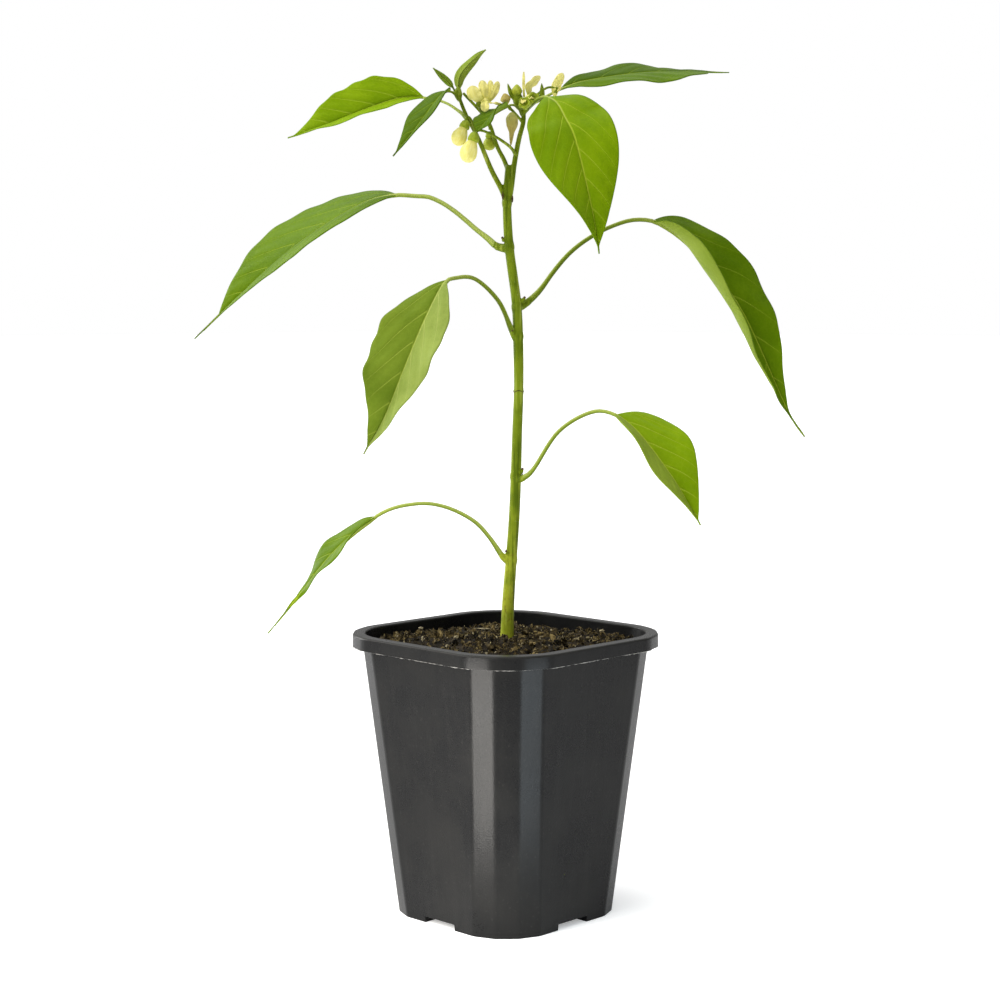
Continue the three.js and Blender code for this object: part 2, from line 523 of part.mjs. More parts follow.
for (const bud of BUDS) {
  const body = largest(budPiece(bud, CALYX_SHARE * 0.5, 1, 1).subtract(stemClearance));
  addNode(plant, bud.name, body, bud.colour);
}

for (const { name, heart, heartRadius, colour, petals } of FLOWERS) {
  const centre = solid(new THREE.IcosahedronGeometry(heartRadius, 1).translate(...heart));
  const blades = petals.map(([route, half, heading, roll]) => blade({ route, from: 0, half,
    shape: [0.55, 0.45], skew: 0, tail: 0, heading, roll: [roll, roll], fold: [12, 12],
    wave: [0.25, 1.2, 0], grid: [5, 2] }, PETAL_THICKNESS));
  addNode(plant, name, largest(joined([centre, ...blades]).subtract(stemClearance)), colour);
}

for (const { name, route, radii, colour } of LUMPS) {
  const body = largest(bar(route, radii, { steps: 6, sides: 10, ribs: 0.12 }).subtract(stemClearance));
  addNode(plant, name, body, colour);
}

export default pottedPlant;
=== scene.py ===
"""A young chilli pepper plant in a square nursery pot. Metres, +Z up, origin under the pot."""

import random
from collections import namedtuple
from math import cos, hypot, pi, radians, sin, sqrt, tan

import bpy
import numpy as np
from mathutils import Euler, Matrix, Vector, noise


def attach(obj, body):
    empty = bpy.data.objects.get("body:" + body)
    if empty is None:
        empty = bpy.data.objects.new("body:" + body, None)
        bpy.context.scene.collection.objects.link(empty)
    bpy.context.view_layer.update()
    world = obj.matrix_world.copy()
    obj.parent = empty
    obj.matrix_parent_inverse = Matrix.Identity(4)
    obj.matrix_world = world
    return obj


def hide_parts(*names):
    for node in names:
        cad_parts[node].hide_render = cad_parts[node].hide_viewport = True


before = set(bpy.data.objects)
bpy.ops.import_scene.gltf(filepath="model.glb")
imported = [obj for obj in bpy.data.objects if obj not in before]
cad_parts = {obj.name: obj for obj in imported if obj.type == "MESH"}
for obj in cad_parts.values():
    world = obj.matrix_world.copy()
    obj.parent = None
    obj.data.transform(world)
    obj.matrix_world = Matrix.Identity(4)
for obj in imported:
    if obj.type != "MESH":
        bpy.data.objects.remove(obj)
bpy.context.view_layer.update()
random.seed(11)

MM = 0.001
PLANT_TURN = radians(45)  # the plant is set out across the pot's corners, then turned
CAMERA_TURN = radians(44.36)
ASKEW = np.array([0.31, 0.95, 0.02])  # a direction that no route of the plant follows

# The pot, in millimetres
POT_HEIGHT, RIM_ACROSS, BODY_TOP_ACROSS, BASE_ACROSS = 121, 110, 101.4, 79
BASE_FACET, TOP_FACET, SKIRT_TOP, WALL, FLOOR = 9.6, 10.5, 115.4, 1.4, 1.6
DRAIN_WIDTH, DRAIN_DEPTH, DRAIN_HEIGHT, DRAIN_HOLE = 17.5, 13, 2.6, 3.5
CORNER_TURN = pi / 8  # from each facet of a corner to the next
# How far the rim and its lip stand out past the solid's, the lip's curve, and the rim's rounding
RIM_OUT, LIP_OUT, LIP_CURVE, RIM_SOFTNESS = 0.3, 0.25, 0.9, 2.6
SOIL_LEVEL, SOIL_SIDE, SOIL_DIP = 118, 116, 3.5
SOIL_STEPS = (12, 4)  # points of the soil's outline on each side and on each facet
# The stem's foot, how near it a grain and a fibre may lie, and how far out a fibre may reach to a side and
# to a corner
STEM_FOOT, GRAIN_CLEAR, FIBRE_CLEAR, FIBRE_SIDE, FIBRE_CORNER = (0.4, 0.6), 3.3, 4, 44, 70

# The stem's centre line and radii, and its branches, in the plant's own setting out
STEM_ROUTE = [
    (0.7, 0.2, 74), (0.7, 0.2, 100), (0.7, 0.2, 118), (1.3, 0.5, 135.5), (2.6, 1, 153.5),
    (3.8, 1.2, 171.5), (4.5, 1, 189.5), (5, 0.4, 207.5), (5.6, -0.3, 226), (5.3, -0.6, 247.5),
    (4.5, -0.5, 262.5), (1.5, 0, 285.5), (0.6, 0.2, 305.5), (1.3, 0.2, 319),
]
STEM_RADII = [3.1, 3.1, 3.05, 2.7, 2.45, 2.35, 2.3, 2.15, 2.05, 2.2, 2.05, 2, 1.85, 1.3]
BRANCHES = [
    ([(0.4, 0, 303), (-1.5, 0, 308.5), (-6, -1, 317), (-11.5, -2, 330), (-16.5, -2, 339.5),
      (-20, 0, 348.5)], 1.3, 0.85),
    ([(1.3, 0.2, 316), (-0.5, 2, 321), (-3.5, 3.5, 327), (-6.5, 4.5, 336), (-10, 4.5, 341),
      (-17.8, 2.5, 349)], 1.1, 0.7),
    ([(1.2, 0, 303), (2.4, 0, 309.5), (3.8, 0, 320), (5.7, 0, 330), (7.5, 0, 337),
      (7.4, -0.5, 343)], 1.35, 1.1),
    ([(4.4, 0, 322.5), (2.7, -4, 325.3), (-1, -8, 328), (-6.5, -11, 331), (-10.5, -12.3, 332.3),
      (-13, -12.5, 331.4)], 0.8, 0.65),
    ([(7.3, 0, 336.5), (5, -2, 339), (2.6, -4.5, 341.4)], 0.7, 0.7),
    ([(7.4, 0, 341), (9.5, -2.5, 343.5), (11, -3.5, 345.5)], 0.9, 0.8),
    ([(7.4, 0, 340), (10, 2.5, 345), (14, 3.5, 349), (18, 4, 351.5), (22.2, 4.3, 351.2)], 0.8, 0.55),
    ([(-6.5, 4.5, 336), (-6.6, 5.5, 335.2), (-6.6, 6, 334)], 0.65, 0.65),
    ([(-6.5, 4.5, 335), (-8.5, 1, 338.5), (-10.5, -3, 341.5), (-11, -5, 343.6)], 0.75, 0.75),
    ([(-12, -2, 331), (-14, -4.5, 336.5), (-15.6, -5.6, 338.4), (-16.8, -6.2, 337)], 0.65, 0.65),
]

# A leaf: centre line, where on it the blade begins, the stalk's radius, the blade's half width, the powers of
# its outline's rise and fall (and how soon it starts), how much wider one half is, how much is a bare tip,
# heading, roll and fold in degrees from foot to tip, the margin's wave (height, number, shift), pairs of
# veins, finish, and how far one half is rolled up
Leaf = namedtuple("Leaf", "route begin stalk half powers skew tail heading roll fold wave pairs tone curl",
                  defaults=(None, None))
LEAVES = {
    "leaf_low_left": Leaf([(2, 0.5, 151), (-1, 1, 153), (-7, 3, 161.5), (-14, 5, 168.5), (-26, 8, 174),
      (-38.5, 11, 175), (-54.5, 15, 170), (-75, 19, 153), (-94, 22, 129), (-104, 22, 117)],
      0.49, 0.9, 9.2, (0.97, 1.18), 0.03, 0.27, 185, (-11, -26), (26, 2), (1.3, 2.6, -0.5), 6, "full"),
    "leaf_low_right": Leaf([(4.5, 0.5, 186), (8, -2, 187.5), (12, -5, 191.5), (22, -13, 207.5),
      (35, -21, 216), (44.5, -27, 215.5), (54, -32, 208.5), (67, -38, 191.5), (74, -40, 180), (79, -41, 171)],
      0.51, 0.9, 16.5, (0.65, 1.14), 0.05, 0.03, -24, (8, 38), (22, 37), (1.4, 1.7, 2.9), 5, "bright"),
    "leaf_middle_left": Leaf([(5, -0.5, 245.5), (2.5, -2, 250), (-3, -7, 262), (-12.5, -15, 271),
      (-20.5, -21, 271.5), (-26, -25, 268.5), (-33.5, -30, 254), (-41.5, -33, 235), (-49.5, -34, 215.5),
      (-58.5, -31, 199.5)],
      0.375, 0.95, 17.5, (1.03, 1.28), -0.04, 0.03, 237, (-5, 2), (12, 40), (1.3, 3.1, 0), 6, "dusty"),
    "leaf_middle_right": Leaf([(4.5, -0.5, 259), (7, 1, 260), (10.5, 2, 262.5), (15, 4, 267),
      (20.5, 6.5, 274.5), (27, 9.5, 282), (34.5, 12.5, 288), (44.5, 17, 293.5), (56, 21, 297),
      (67.5, 26, 295.5), (79, 30, 288), (89, 33, 277), (99.5, 35, 265.5), (107, 36, 253.5),
      (114.5, 37, 238), (121, 37, 223.5), (126.5, 36, 211.5), (132.5, 33, 202.5)],
      0.39, 1, 19.2, (0.76, 1.47), -0.09, 0.08, -34.6, (0.3, 77), (18, 3.4), (2.1, 3.18, 1.52), 6, "full",
      (58, 138)),
    "leaf_high_left": Leaf([(1.5, 0, 284), (-3.5, 2, 285), (-7.5, 4.5, 288.5), (-12.5, 8, 292.5),
      (-17, 11, 296.5), (-22.5, 14, 301), (-29, 17.5, 305), (-36.5, 21, 307), (-58.5, 30, 306),
      (-90, 39, 288), (-117, 44, 265), (-137.5, 45, 245.5)],
      0.344, 1.05, 25, (0.77, 1.01, 0.09), 0, 0.13, 149, (-21, -63), (3, 34), (0.5, 2.5, 2.8), 7, "full"),
    "leaf_top_left": Leaf([(-16, -1, 338), (-19.5, 3, 341.5), (-27, 7, 346), (-40.5, 14, 348.5),
      (-54, 20, 346), (-82.5, 28, 336), (-94, 31, 332.5)],
      0.265, 0.6, 13, (0.96, 1.16), -0.03, 0.03, 168, (-69, -41), (47, 37), (0.8, 2.4, 1.7), 6, "bright"),
    "leaf_top_small_left": Leaf([(-19.5, -0.5, 347), (-23, -3, 349), (-27, -6, 347.3), (-37.5, -12, 333),
      (-46.5, -15, 321.5)],
      0.11, 0.5, 8.8, (0.71, 1.29), -0.03, 0.03, 229, (15, 2), (15, 27), (0.4, 1.8, -0.1), 5, "young"),
    "leaf_top_front": Leaf([(7.5, -0.8, 341), (11.5, -6.5, 344.2), (16, -12, 346), (20.5, -18, 343.5),
      (24, -23, 337), (28.5, -29, 326), (35, -36, 297), (37.5, -37, 281)],
      0.169, 0.75, 18, (0.72, 1.14), -0.06, 0.03, -95, (7, -32), (1, 32), (2, 1.4, 4.6), 6, "fresh"),
    "leaf_top_right": Leaf([(7.6, 1, 341), (12.5, 7, 345.5), (17.5, 10.5, 348.5), (27, 16, 353.5),
      (36.5, 20, 356.5), (63, 31, 361), (98.5, 42, 362)],
      0.217, 0.65, 13, (0.96, 0.6), -0.08, 0.12, -10, (40, 8), (11, 3), (1.1, 2.4, 0.6), 6, "young"),
    "leaf_top_small_centre": Leaf([(7, -1, 339.5), (4.8, -5, 342.5), (1.3, -8.5, 342.8), (-5.5, -12, 338.5),
      (-12, -14.5, 331.8)],
      0.374, 0.5, 9.5, (0.83, 0.89), 0, 0, 214, (24, -13), (22, 20), (0.8, 1.8, 2.4), 4, "young"),
    "leaf_shoot_tip": Leaf([(-19, 2, 348), (-19.6, 2, 352.3), (-19, 2, 356), (-16.4, 2.5, 359.7),
      (-12.1, 3.5, 364), (-8.2, 3, 367)],
      0.1, 0.5, 2.9, (0.5, 0.8), 0, 0, -90, (0, 10), (34, 46), (0.3, 1.5, 0), 4, "full"),
    "leaf_shoot_tiny": Leaf([(-20.8, 0.6, 348.4), (-22.8, 0, 352), (-30.2, -2, 358.8)],
      0.2, 0.45, 1.5, (0.5, 0.9), 0, 0, -90, (0, 0), (15, 15), (0, 1, 0), 3, "young"),
}
# Leaves with one half painted paler as painted light, where that half catches sheen and light: the side that
# it lies on, and its finish
PAINTED_LIT_HALVES = {"leaf_middle_left": (1, "pale"), "leaf_low_right": (-1, "fresh_under"),
         "leaf_top_right": (-1, "full")}
SCALLOP = 0.024  # how far a wavy leaf's margin goes in and out, as a share of its half width
# Buds: top, the way they hang, length, radius, finish
BUDS = {
    "bud_left": ((-16.2, -6.2, 336.6), (-0.45, -0.2, -1), 11.2, 3.2, "petal"),
    "bud_front": ((-12.6, -12.5, 331.4), (-0.33, -0.1, -1), 13, 3.5, "petal"),
    "bud_back": ((-6.8, 6, 333), (0, 0.05, -1), 7.6, 2.5, "green_bud"),
}
# Flowers: heart, its radius, and for each petal its route, half width, heading and roll
PETALS = {
    "flower_left": ((-8.6, -5.5, 344.6), 1.6, [
        ([(-9.4, -5.5, 344), (-12.9, -8, 347.1), (-14.4, -8, 350.9)], 3, -90, 0),
        ([(-9, -5, 344.1), (-9, -5.5, 349), (-9.8, -4, 353.6)], 2.2, -90, 10),
        ([(-7.7, -4, 344.6), (-6.5, -3, 349.6), (-6.3, -2.5, 353.8)], 1.5, -90, -15),
        ([(-6.9, -4, 344.6), (-4.4, -3.5, 349.2), (-3.1, -3, 353.3)], 1.6, -80, 0),
        ([(-9, -6.6, 345.2), (-8.6, -8.5, 342.5), (-9, -8.5, 340.3)], 1.9, -90, 0),
        ([(-8.2, -6, 344.4), (-4.8, -7, 343.9), (-1.1, -7, 343.3)], 0.6, -90, 0)]),
    "flower_right": ((9.6, -4, 346.4), 1.4, [
        ([(7.7, -4, 346.7), (7.5, -3.6, 352), (7.6, -3.2, 357.2)], 0.6, -90, 0),
        ([(9.4, -3.6, 347.3), (10.4, -2.6, 351.3), (14.6, -1.8, 355.4)], 2.7, -55, 15),
        ([(9.3, -6, 346.4), (10.5, -7, 346), (11.8, -7.5, 346)], 1.1, -90, 0),
        ([(8.5, -6, 345.4), (7.2, -7.6, 344.6), (6.4, -8, 344)], 1.1, -90, 0)]),
    "flower_behind": ((20.8, 4.3, 348.6), 0.9, [
        ([(20.6, 4.3, 348), (21, 4, 351.6), (24.2, 3.6, 357.4)], 2, -90, 10),
        ([(20.8, 4.4, 348), (22.2, 6, 351.8), (24, 7, 355.2)], 1.4, -120, 0)]),
}
# Closed bodies, and the green cups and spikes that grow from the branches: route, radii along it, finish
LUMPS = {
    "young_fruit": ([(4.7, -3.6, 346.8), (4.7, -3.8, 348.6), (4.7, -4, 352)], (1.4, 2.3, 0.9), "green_bud"),
    "withered_bud": ([(0.9, -5.4, 343.6), (0.1, -6.1, 345.5), (-0.6, -6.6, 348)], (0.9, 2.2, 1), "withered"),
    "withered_flower": ([(2.7, -5, 340.6), (2.6, -5.2, 337.8), (2.6, -5.4, 333.4), (2.1, -5.6, 326.4)],
        (2, 2.7, 2.3, 1.1, 0.8, 0.6), "withered"),
}
GREEN_CUPS = [
    ([(7.4, -0.5, 341.5), (5.6, -2.2, 343.6), (4.8, -3.4, 348.6)], (1.2, 2.1, 2.5)),
    ([(10, -3, 344), (11, -4, 345.6), (11.2, -4.6, 346.6)], (1, 2, 1.5)),
    ([(4.2, -3.2, 345.2), (2.2, -3.6, 348.4), (0.7, -4, 352.6)], (1.2, 1, 0.4)),
    ([(12, -3.6, 345.2), (15, -4.6, 346.4), (15, -5, 352.8)], (1.1, 1.3, 1, 0.3)),
    ([(2.4, -4.2, 341.2), (1.5, -4.9, 342.4), (1, -5.3, 343.2)], (0.8, 0.8, 0.8)),
    ([(-11, -4.9, 342), (-11, -5.2, 343.4), (-10.6, -5.4, 344.8)], (0.7, 1.5, 1.5)),
    ([(21.4, 4.3, 350.4), (20.9, 4.3, 349.2), (20.7, 4.3, 348.2)], (0.6, 0.8, 0.7)),
    ([(-19.2, -0.6, 345), (-19.8, 0.4, 348.4), (-19.8, 1.2, 351.6)], (1, 1.8, 1.2)),
    ([(-20.6, -1.4, 347.6), (-20.4, -1.8, 349), (-20, -2, 350.2)], (0.8, 1.1, 0.6)),
]
# Open calyx cups of fallen flowers: foot, way they face, radius
OPEN_CUPS = [((8, -6.2, 343.9), (-0.15, -0.95, 0.3), 2.4), ((11.6, -5.6, 346), (0.2, -0.9, 0.35), 2.3)]
# Buds in the leaf axils: place, lean, size; and the height of each node, with how far the stem swells there
AXIL_BUDS = [
    ((7.2, -1.2, 262.5), (0.8, -0.4), 1.1), ((6.6, -1, 190), (0.6, -0.4), 1.0),
    ((-0.6, -1, 287.6), (-0.7, -0.3), 0.9), ((0.8, -1.6, 155), (-0.5, -0.3), 0.8),
    ((3.6, -2.4, 248.8), (-0.8, -0.4), 0.8),
]
NODE_SWELLS = [(152, 0.25), (187.5, 0.3), (224, 0.12), (247, 0.25), (260, 0.3), (284.5, 0.3), (303, 0.35)]
# Brown scars in the main fork, and the ring of an old leaf below the middle leaves
FORK_SCARS = [(-1.2, -1.6, 306), (2.9, -1.3, 304.8)]
RING_SCAR = (5.55, -0.2, 224)
# Pale straw and perlite seen on the soil: place across and away, length, thickness, turn
PALE_BITS = [
    (-25.3, 16.4, 4.2, 1.6, 0), (-21.1, -10.9, 2.6, 2.3, 0.7), (-9.2, 27, 6.5, 1.3, -0.2),
    (-14, 29, 4, 1.2, 0.4), (14.7, -3.3, 3.6, 1.1, 1.3), (23.5, -19.2, 3.2, 2.1, 0.3),
    (42.1, 12.9, 2.6, 1.8, 0.6), (30, -6, 2.6, 1, 0.2), (-37, 24, 2.6, 2, 0.5), (-15.2, -18, 2.8, 1.6, 1),
    (35, -8, 2.4, 1.1, 0.8),
]
# Where hairs stand: the piece, the height in metres that they start at, and how many
HAIRY = [("stem_green", 0.3, 900), ("stem_green", 0.13, 500), ("calyces", 0.3, 260),
         ("leaf_shoot_tip", 0.3, 240), ("leaf_shoot_tiny", 0.3, 90)]


class Tint:
    """A socket of a finish, so that its shader maths reads as plain expressions."""

    def __init__(self, finish, socket):
        self.finish, self.socket = finish, socket

    def maths(self, operation, *values):
        return self.finish.add("ShaderNodeMath", dict(enumerate(values)), operation=operation)

    def __add__(self, other): return self.maths("ADD", self, other)
    def __sub__(self, other): return self.maths("SUBTRACT", self, other)
    def __rsub__(self, other): return self.maths("SUBTRACT", other, self)
    def __mul__(self, other): return self.maths("MULTIPLY", self, other)
    def __truediv__(self, other): return self.maths("DIVIDE", self, other)
    def __abs__(self): return self.maths("ABSOLUTE", self)
    def most(self, other): return self.maths("MAXIMUM", self, other)
    def fraction(self): return self.maths("FRACT", self)
    __radd__, __rmul__ = __add__, __mul__


class Finish:
    """One finish: a material with a single shader, and the nodes that feed it."""

    def __init__(self, name, **constants):
        self.material = bpy.data.materials.new(name)
        self.material.use_nodes = True
        self.tree = self.material.node_tree
        self.shader = self.tree.nodes["Principled BSDF"]
        for socket, value in constants.items():
            self.shader.inputs[socket.replace("_", " ")].default_value = value
        self.place = self.add("ShaderNodeTexCoord", output="Object")

    def add(self, kind, inputs=None, output=0, **settings):
        node = self.tree.nodes.new(kind)
        for name, value in settings.items():
            setattr(node, name, value)
        for name, value in (inputs or {}).items():
            self.feed(node.inputs[name], value)
        return Tint(self, node.outputs[output])

    def feed(self, socket, value):
        if isinstance(value, Tint):
            self.tree.links.new(value.socket, socket)
        elif isinstance(value, tuple) and socket.type == "RGBA":
            socket.default_value = (*value, 1)
        else:
            socket.default_value = value

    def stretched(self, scale):
        return self.add("ShaderNodeMapping", {"Vector": self.place, "Scale": scale})

    def noise(self, scale, detail=3, roughness=0.5, place=None):
        return self.add("ShaderNodeTexNoise", {"Vector": place or self.place, "Scale": scale,
                                               "Detail": detail, "Roughness": roughness})

    def cells(self, scale, feature="F1"):
        return self.add("ShaderNodeTexVoronoi", {"Vector": self.place, "Scale": scale}, feature=feature)

    def height(self):
        return self.add("ShaderNodeSeparateXYZ", {0: self.place}, 2)

    def ease(self, value, low, high, first=0.0, last=1.0):
        return self.add("ShaderNodeMapRange", {0: value, 1: low, 2: high, 3: first, 4: last},
                        interpolation_type="SMOOTHSTEP")

    def mix(self, share, first, second):
        return self.add("ShaderNodeMix", {0: share, 6: first, 7: second}, 2, data_type="RGBA")

    def pair(self, uv_map):
        split = self.add("ShaderNodeSeparateXYZ", {0: self.add("ShaderNodeUVMap", uv_map=uv_map)})
        return split, Tint(self, split.socket.node.outputs[1])

    def done(self, colour, roughness=None, height=None, depth=0.0):
        self.feed(self.shader.inputs["Base Color"], colour)
        if roughness is not None:
            self.feed(self.shader.inputs["Roughness"], roughness)
        if height is not None:
            bump = self.add("ShaderNodeBump", {"Strength": 1.0, "Distance": depth, "Height": height})
            self.feed(self.shader.inputs["Normal"], bump)
        return self.material


def pot_plastic():
    """Matt black moulded plastic: a fine grain, faint draw marks down the sides, dust, and a painted
    highlight along the top of the lip.
    """
    f = Finish("pot_plastic", Specular_IOR_Level=0.14)
    grain = f.noise(1900, 2)
    cloud = f.noise(38, 4, 0.6)
    draw = f.noise(260, 3, 0.6, f.stretched((1, 1, 0.035)))
    dust = f.ease(f.noise(900, 2), 0.62, 0.74)
    # Painted highlight: the top millimetre of the lip is made lighter, as if lit from above.
    lip = f.ease(f.height(), 0.1198, 0.1208)
    colour = f.mix(f.ease(cloud, 0.3, 0.7), (0.0052, 0.0052, 0.0054), (0.0088, 0.0086, 0.0082))
    colour = f.mix(lip * 0.25, colour, (0.06, 0.057, 0.05))
    colour = f.mix(f.ease(draw, 0.45, 0.75) * 0.35, colour, (0.013, 0.0126, 0.012))
    colour = f.mix(dust * 0.2, colour, (0.04, 0.038, 0.035))
    roughness = 0.23 + f.ease(cloud, 0.3, 0.7) * 0.05 + grain * 0.07
    return f.done(colour, roughness, grain * 0.8 + draw * 0.6 + cloud * 0.8, 0.00008)


def compost(name, dark, brown, pale, scale, fleck):
    """Moist peat compost: dark crumbs with brown and pale fibre showing in them, and painted shade near black
    in the pits of its bump.
    """
    f = Finish(name, Specular_IOR_Level=0.12)
    broad = f.noise(scale, 5, 0.65)
    fine = f.noise(scale * 7, 4, 0.7)
    lumps = f.cells(scale * 4)
    colour = f.mix(f.ease(broad, 0.4, 0.72), dark, brown)
    colour = f.mix(f.ease(fine, 0.57, 0.72) * fleck, colour, pale)
    # Painted shade: near black in the pits where the bump from these cells sinks.
    colour = f.mix(f.ease(lumps, 0.0, 0.35, 0.45, 0.0), colour, (0.004, 0.003, 0.0015))
    return f.done(colour, 0.6 + fine * 0.3, fine * 0.6 + lumps * 0.6, 0.0006)


def leaf_skin(key, deep, fresh, vein, gloss):
    """A leaf's skin: veins counted along the blade, with a fine net between them."""
    under = key.endswith("_under")
    f = Finish(f"leaf_{key}side" if under else f"leaf_{key}_green", Specular_IOR_Level=0.11,
               Specular_Tint=(0.8, 0.95, 0.1, 1))
    along, _ = f.pair("UVMap")
    phase, spread = f.pair("veins")
    spacing, share = f.pair("scale")
    from_vein = abs(phase.fraction() - 0.5) * spacing * 0.62
    side = f.ease(from_vein / (0.5 - share * 0.34), 0.15, 1.1, 1.0, 0.0)
    beside = f.ease(from_vein, 0.2, 3.2, 1.0, 0.0)
    middle = f.ease(spread / (0.8 - along * 0.55), 0.3, 1.1, 1.0, 0.0)
    net = f.ease(f.cells(520, "DISTANCE_TO_EDGE"), 0.0, 0.12, 1.0, 0.0)
    lines = (side * (0.5 - share * 0.28)).most(middle * 0.85)
    blotch = f.noise(46, 5, 0.62)
    colour = f.mix(f.ease(blotch, 0.32, 0.7), deep, fresh)
    colour = f.mix(beside * 0.25, colour, fresh)
    colour = f.mix(net * 0.05, colour, vein)
    colour = f.mix(f.ease(share, 0.955, 1.0) * 0.4, colour, deep)
    colour = f.mix(lines * 0.82, colour, vein)
    grain = f.noise(1500, 3)
    quilt = f.noise(260, 2, 0.5)
    relief = -1 if under else 1
    height = grain * 0.05 + quilt * 0.42 - net * 0.05 * relief - lines * 0.8 * relief
    return f.done(colour, gloss + grain * 0.12 + lines * 0.06, height, 0.00035)


def stalk_skin():
    """A leaf's stalk: fine lengthwise stripes, a painted highlight along the top, and painted shade down its
    lower sides and underside.
    """
    f = Finish("leaf_stalk_green", Specular_IOR_Level=0.2, Specular_Tint=(0.85, 0.95, 0.3, 1))
    along, about = f.pair("UVMap")
    stripes = f.noise(1.0, 2, 0.5, f.add("ShaderNodeCombineXYZ", {0: along * 2.5, 1: about * 14}))
    from_top = abs(about - 0.5)
    colour = f.mix(f.ease(stripes, 0.36, 0.66), (0.12, 0.18, 0.008), (0.23, 0.3, 0.025))
    # Painted highlight: paler along the top of the stalk.
    colour = f.mix(f.ease(from_top, 0.1, 0.33, 0.75, 0.0), colour, (0.42, 0.49, 0.12))
    # Painted shade: darker down the lower sides and underside.
    colour = f.mix(f.ease(from_top, 0.3, 0.46, 0.0, 0.7), colour, (0.055, 0.09, 0.002))
    return f.done(colour, 0.46, stripes, 0.00012)


def green_stem():
    """Smooth green stem: streaks along it, paler ridges, and brown corky flecks low down."""
    f = Finish("stem_green", Specular_IOR_Level=0.2, Specular_Tint=(0.85, 0.95, 0.3, 1))
    streak = f.noise(480, 3, 0.55, f.stretched((1, 1, 0.05)))
    cloud = f.noise(90, 3)
    fleck = f.noise(1150, 3, 0.6, f.stretched((1, 1, 0.5)))
    low = f.ease(f.height(), 0.12, 0.2, 1.0, 0.1)
    fresh = f.mix(low, (0.14, 0.205, 0.007), (0.4, 0.44, 0.03))
    deep = f.mix(low, (0.08, 0.125, 0.002), (0.17, 0.235, 0.01))
    colour = f.mix(f.ease(cloud, 0.25, 0.62), deep, fresh)
    colour = f.mix(f.ease(streak, 0.52, 0.66) * (low * 0.2 + 0.5), colour, (0.4, 0.46, 0.07))
    colour = f.mix(f.ease(streak, 0.34, 0.46, 0.8, 0.0), colour, (0.06, 0.1, 0.002))
    colour = f.mix(f.ease(fleck, 0.54, 0.66) * low * 0.55, colour, (0.16, 0.11, 0.015))
    return f.done(colour, 0.46 + streak * 0.15, streak * 0.8 + fleck * 0.25, 0.00025)


def petal_skin(name, tone, heart, edge, streaks):
    """A petal: pale, with fine ribs along it and a greener foot."""
    f = Finish(name, Specular_IOR_Level=0.3)
    along, across = f.pair("UVMap")
    ribs = f.noise(1.0, 3, 0.6, f.add("ShaderNodeCombineXYZ", {0: along * 2.5, 1: across * 26}))
    blotch = f.noise(420, 3)
    colour = f.mix(f.ease(ribs, 0.38, 0.66) * streaks, tone, edge)
    colour = f.mix(f.ease(along, 0.0, 0.45, 0.85, 0.0), colour, heart)
    colour = f.mix(f.ease(blotch, 0.5, 0.75) * 0.25, colour, heart)
    return f.done(colour, 0.55, ribs, 0.0002)


# Leaf skins: deep and fresh greens, veins, and roughness
LEAF_SKINS = {
    "full": ((0.078, 0.155, 0.0012), (0.112, 0.2, 0.002), (0.36, 0.46, 0.035), 0.42),
    "full_under": ((0.19, 0.27, 0.025), (0.24, 0.32, 0.04), (0.33, 0.4, 0.07), 0.55),
    "dusty": ((0.115, 0.182, 0.012), (0.165, 0.238, 0.02), (0.4, 0.49, 0.07), 0.42),
    "bright": ((0.165, 0.285, 0.002), (0.225, 0.35, 0.004), (0.5, 0.6, 0.06), 0.42),
    # pale: a painted sheen tone, worn by one half of leaf_middle_left
    "pale": ((0.185, 0.25, 0.042), (0.26, 0.33, 0.065), (0.52, 0.57, 0.16), 0.45),
    "fresh": ((0.13, 0.235, 0.001), (0.18, 0.29, 0.002), (0.42, 0.52, 0.04), 0.42),
    # fresh_under: also worn by one half of leaf_low_right as painted light
    "fresh_under": ((0.2, 0.29, 0.02), (0.26, 0.35, 0.035), (0.36, 0.44, 0.07), 0.55),
    "young": ((0.048, 0.105, 0.0006), (0.072, 0.14, 0.0012), (0.22, 0.31, 0.02), 0.46),
    "young_under": ((0.13, 0.22, 0.012), (0.17, 0.27, 0.02), (0.28, 0.38, 0.05), 0.55),
}
# Compost, chips and scars: the material, its dark, brown and pale tones, its scale, and how much pale shows
GRAINS = {
    "soil": ("compost", (0.007, 0.005, 0.0025), (0.03, 0.021, 0.01), (0.12, 0.09, 0.045), 120, 0.4),
    "crumb": ("compost_crumbs", (0.005, 0.0035, 0.0015), (0.155, 0.11, 0.04), (0.66, 0.54, 0.25), 190, 0.95),
    "bark": ("bark_chips", (0.02, 0.013, 0.005), (0.32, 0.235, 0.09), (0.7, 0.58, 0.3), 130, 0.9),
    "pale_bits": ("pale_bits", (0.36, 0.3, 0.17), (0.55, 0.48, 0.33), (0.7, 0.64, 0.5), 300, 0.6),
    "scar": ("corky_scars", (0.05, 0.028, 0.008), (0.2, 0.13, 0.05), (0.5, 0.4, 0.2), 500, 0.5),
}
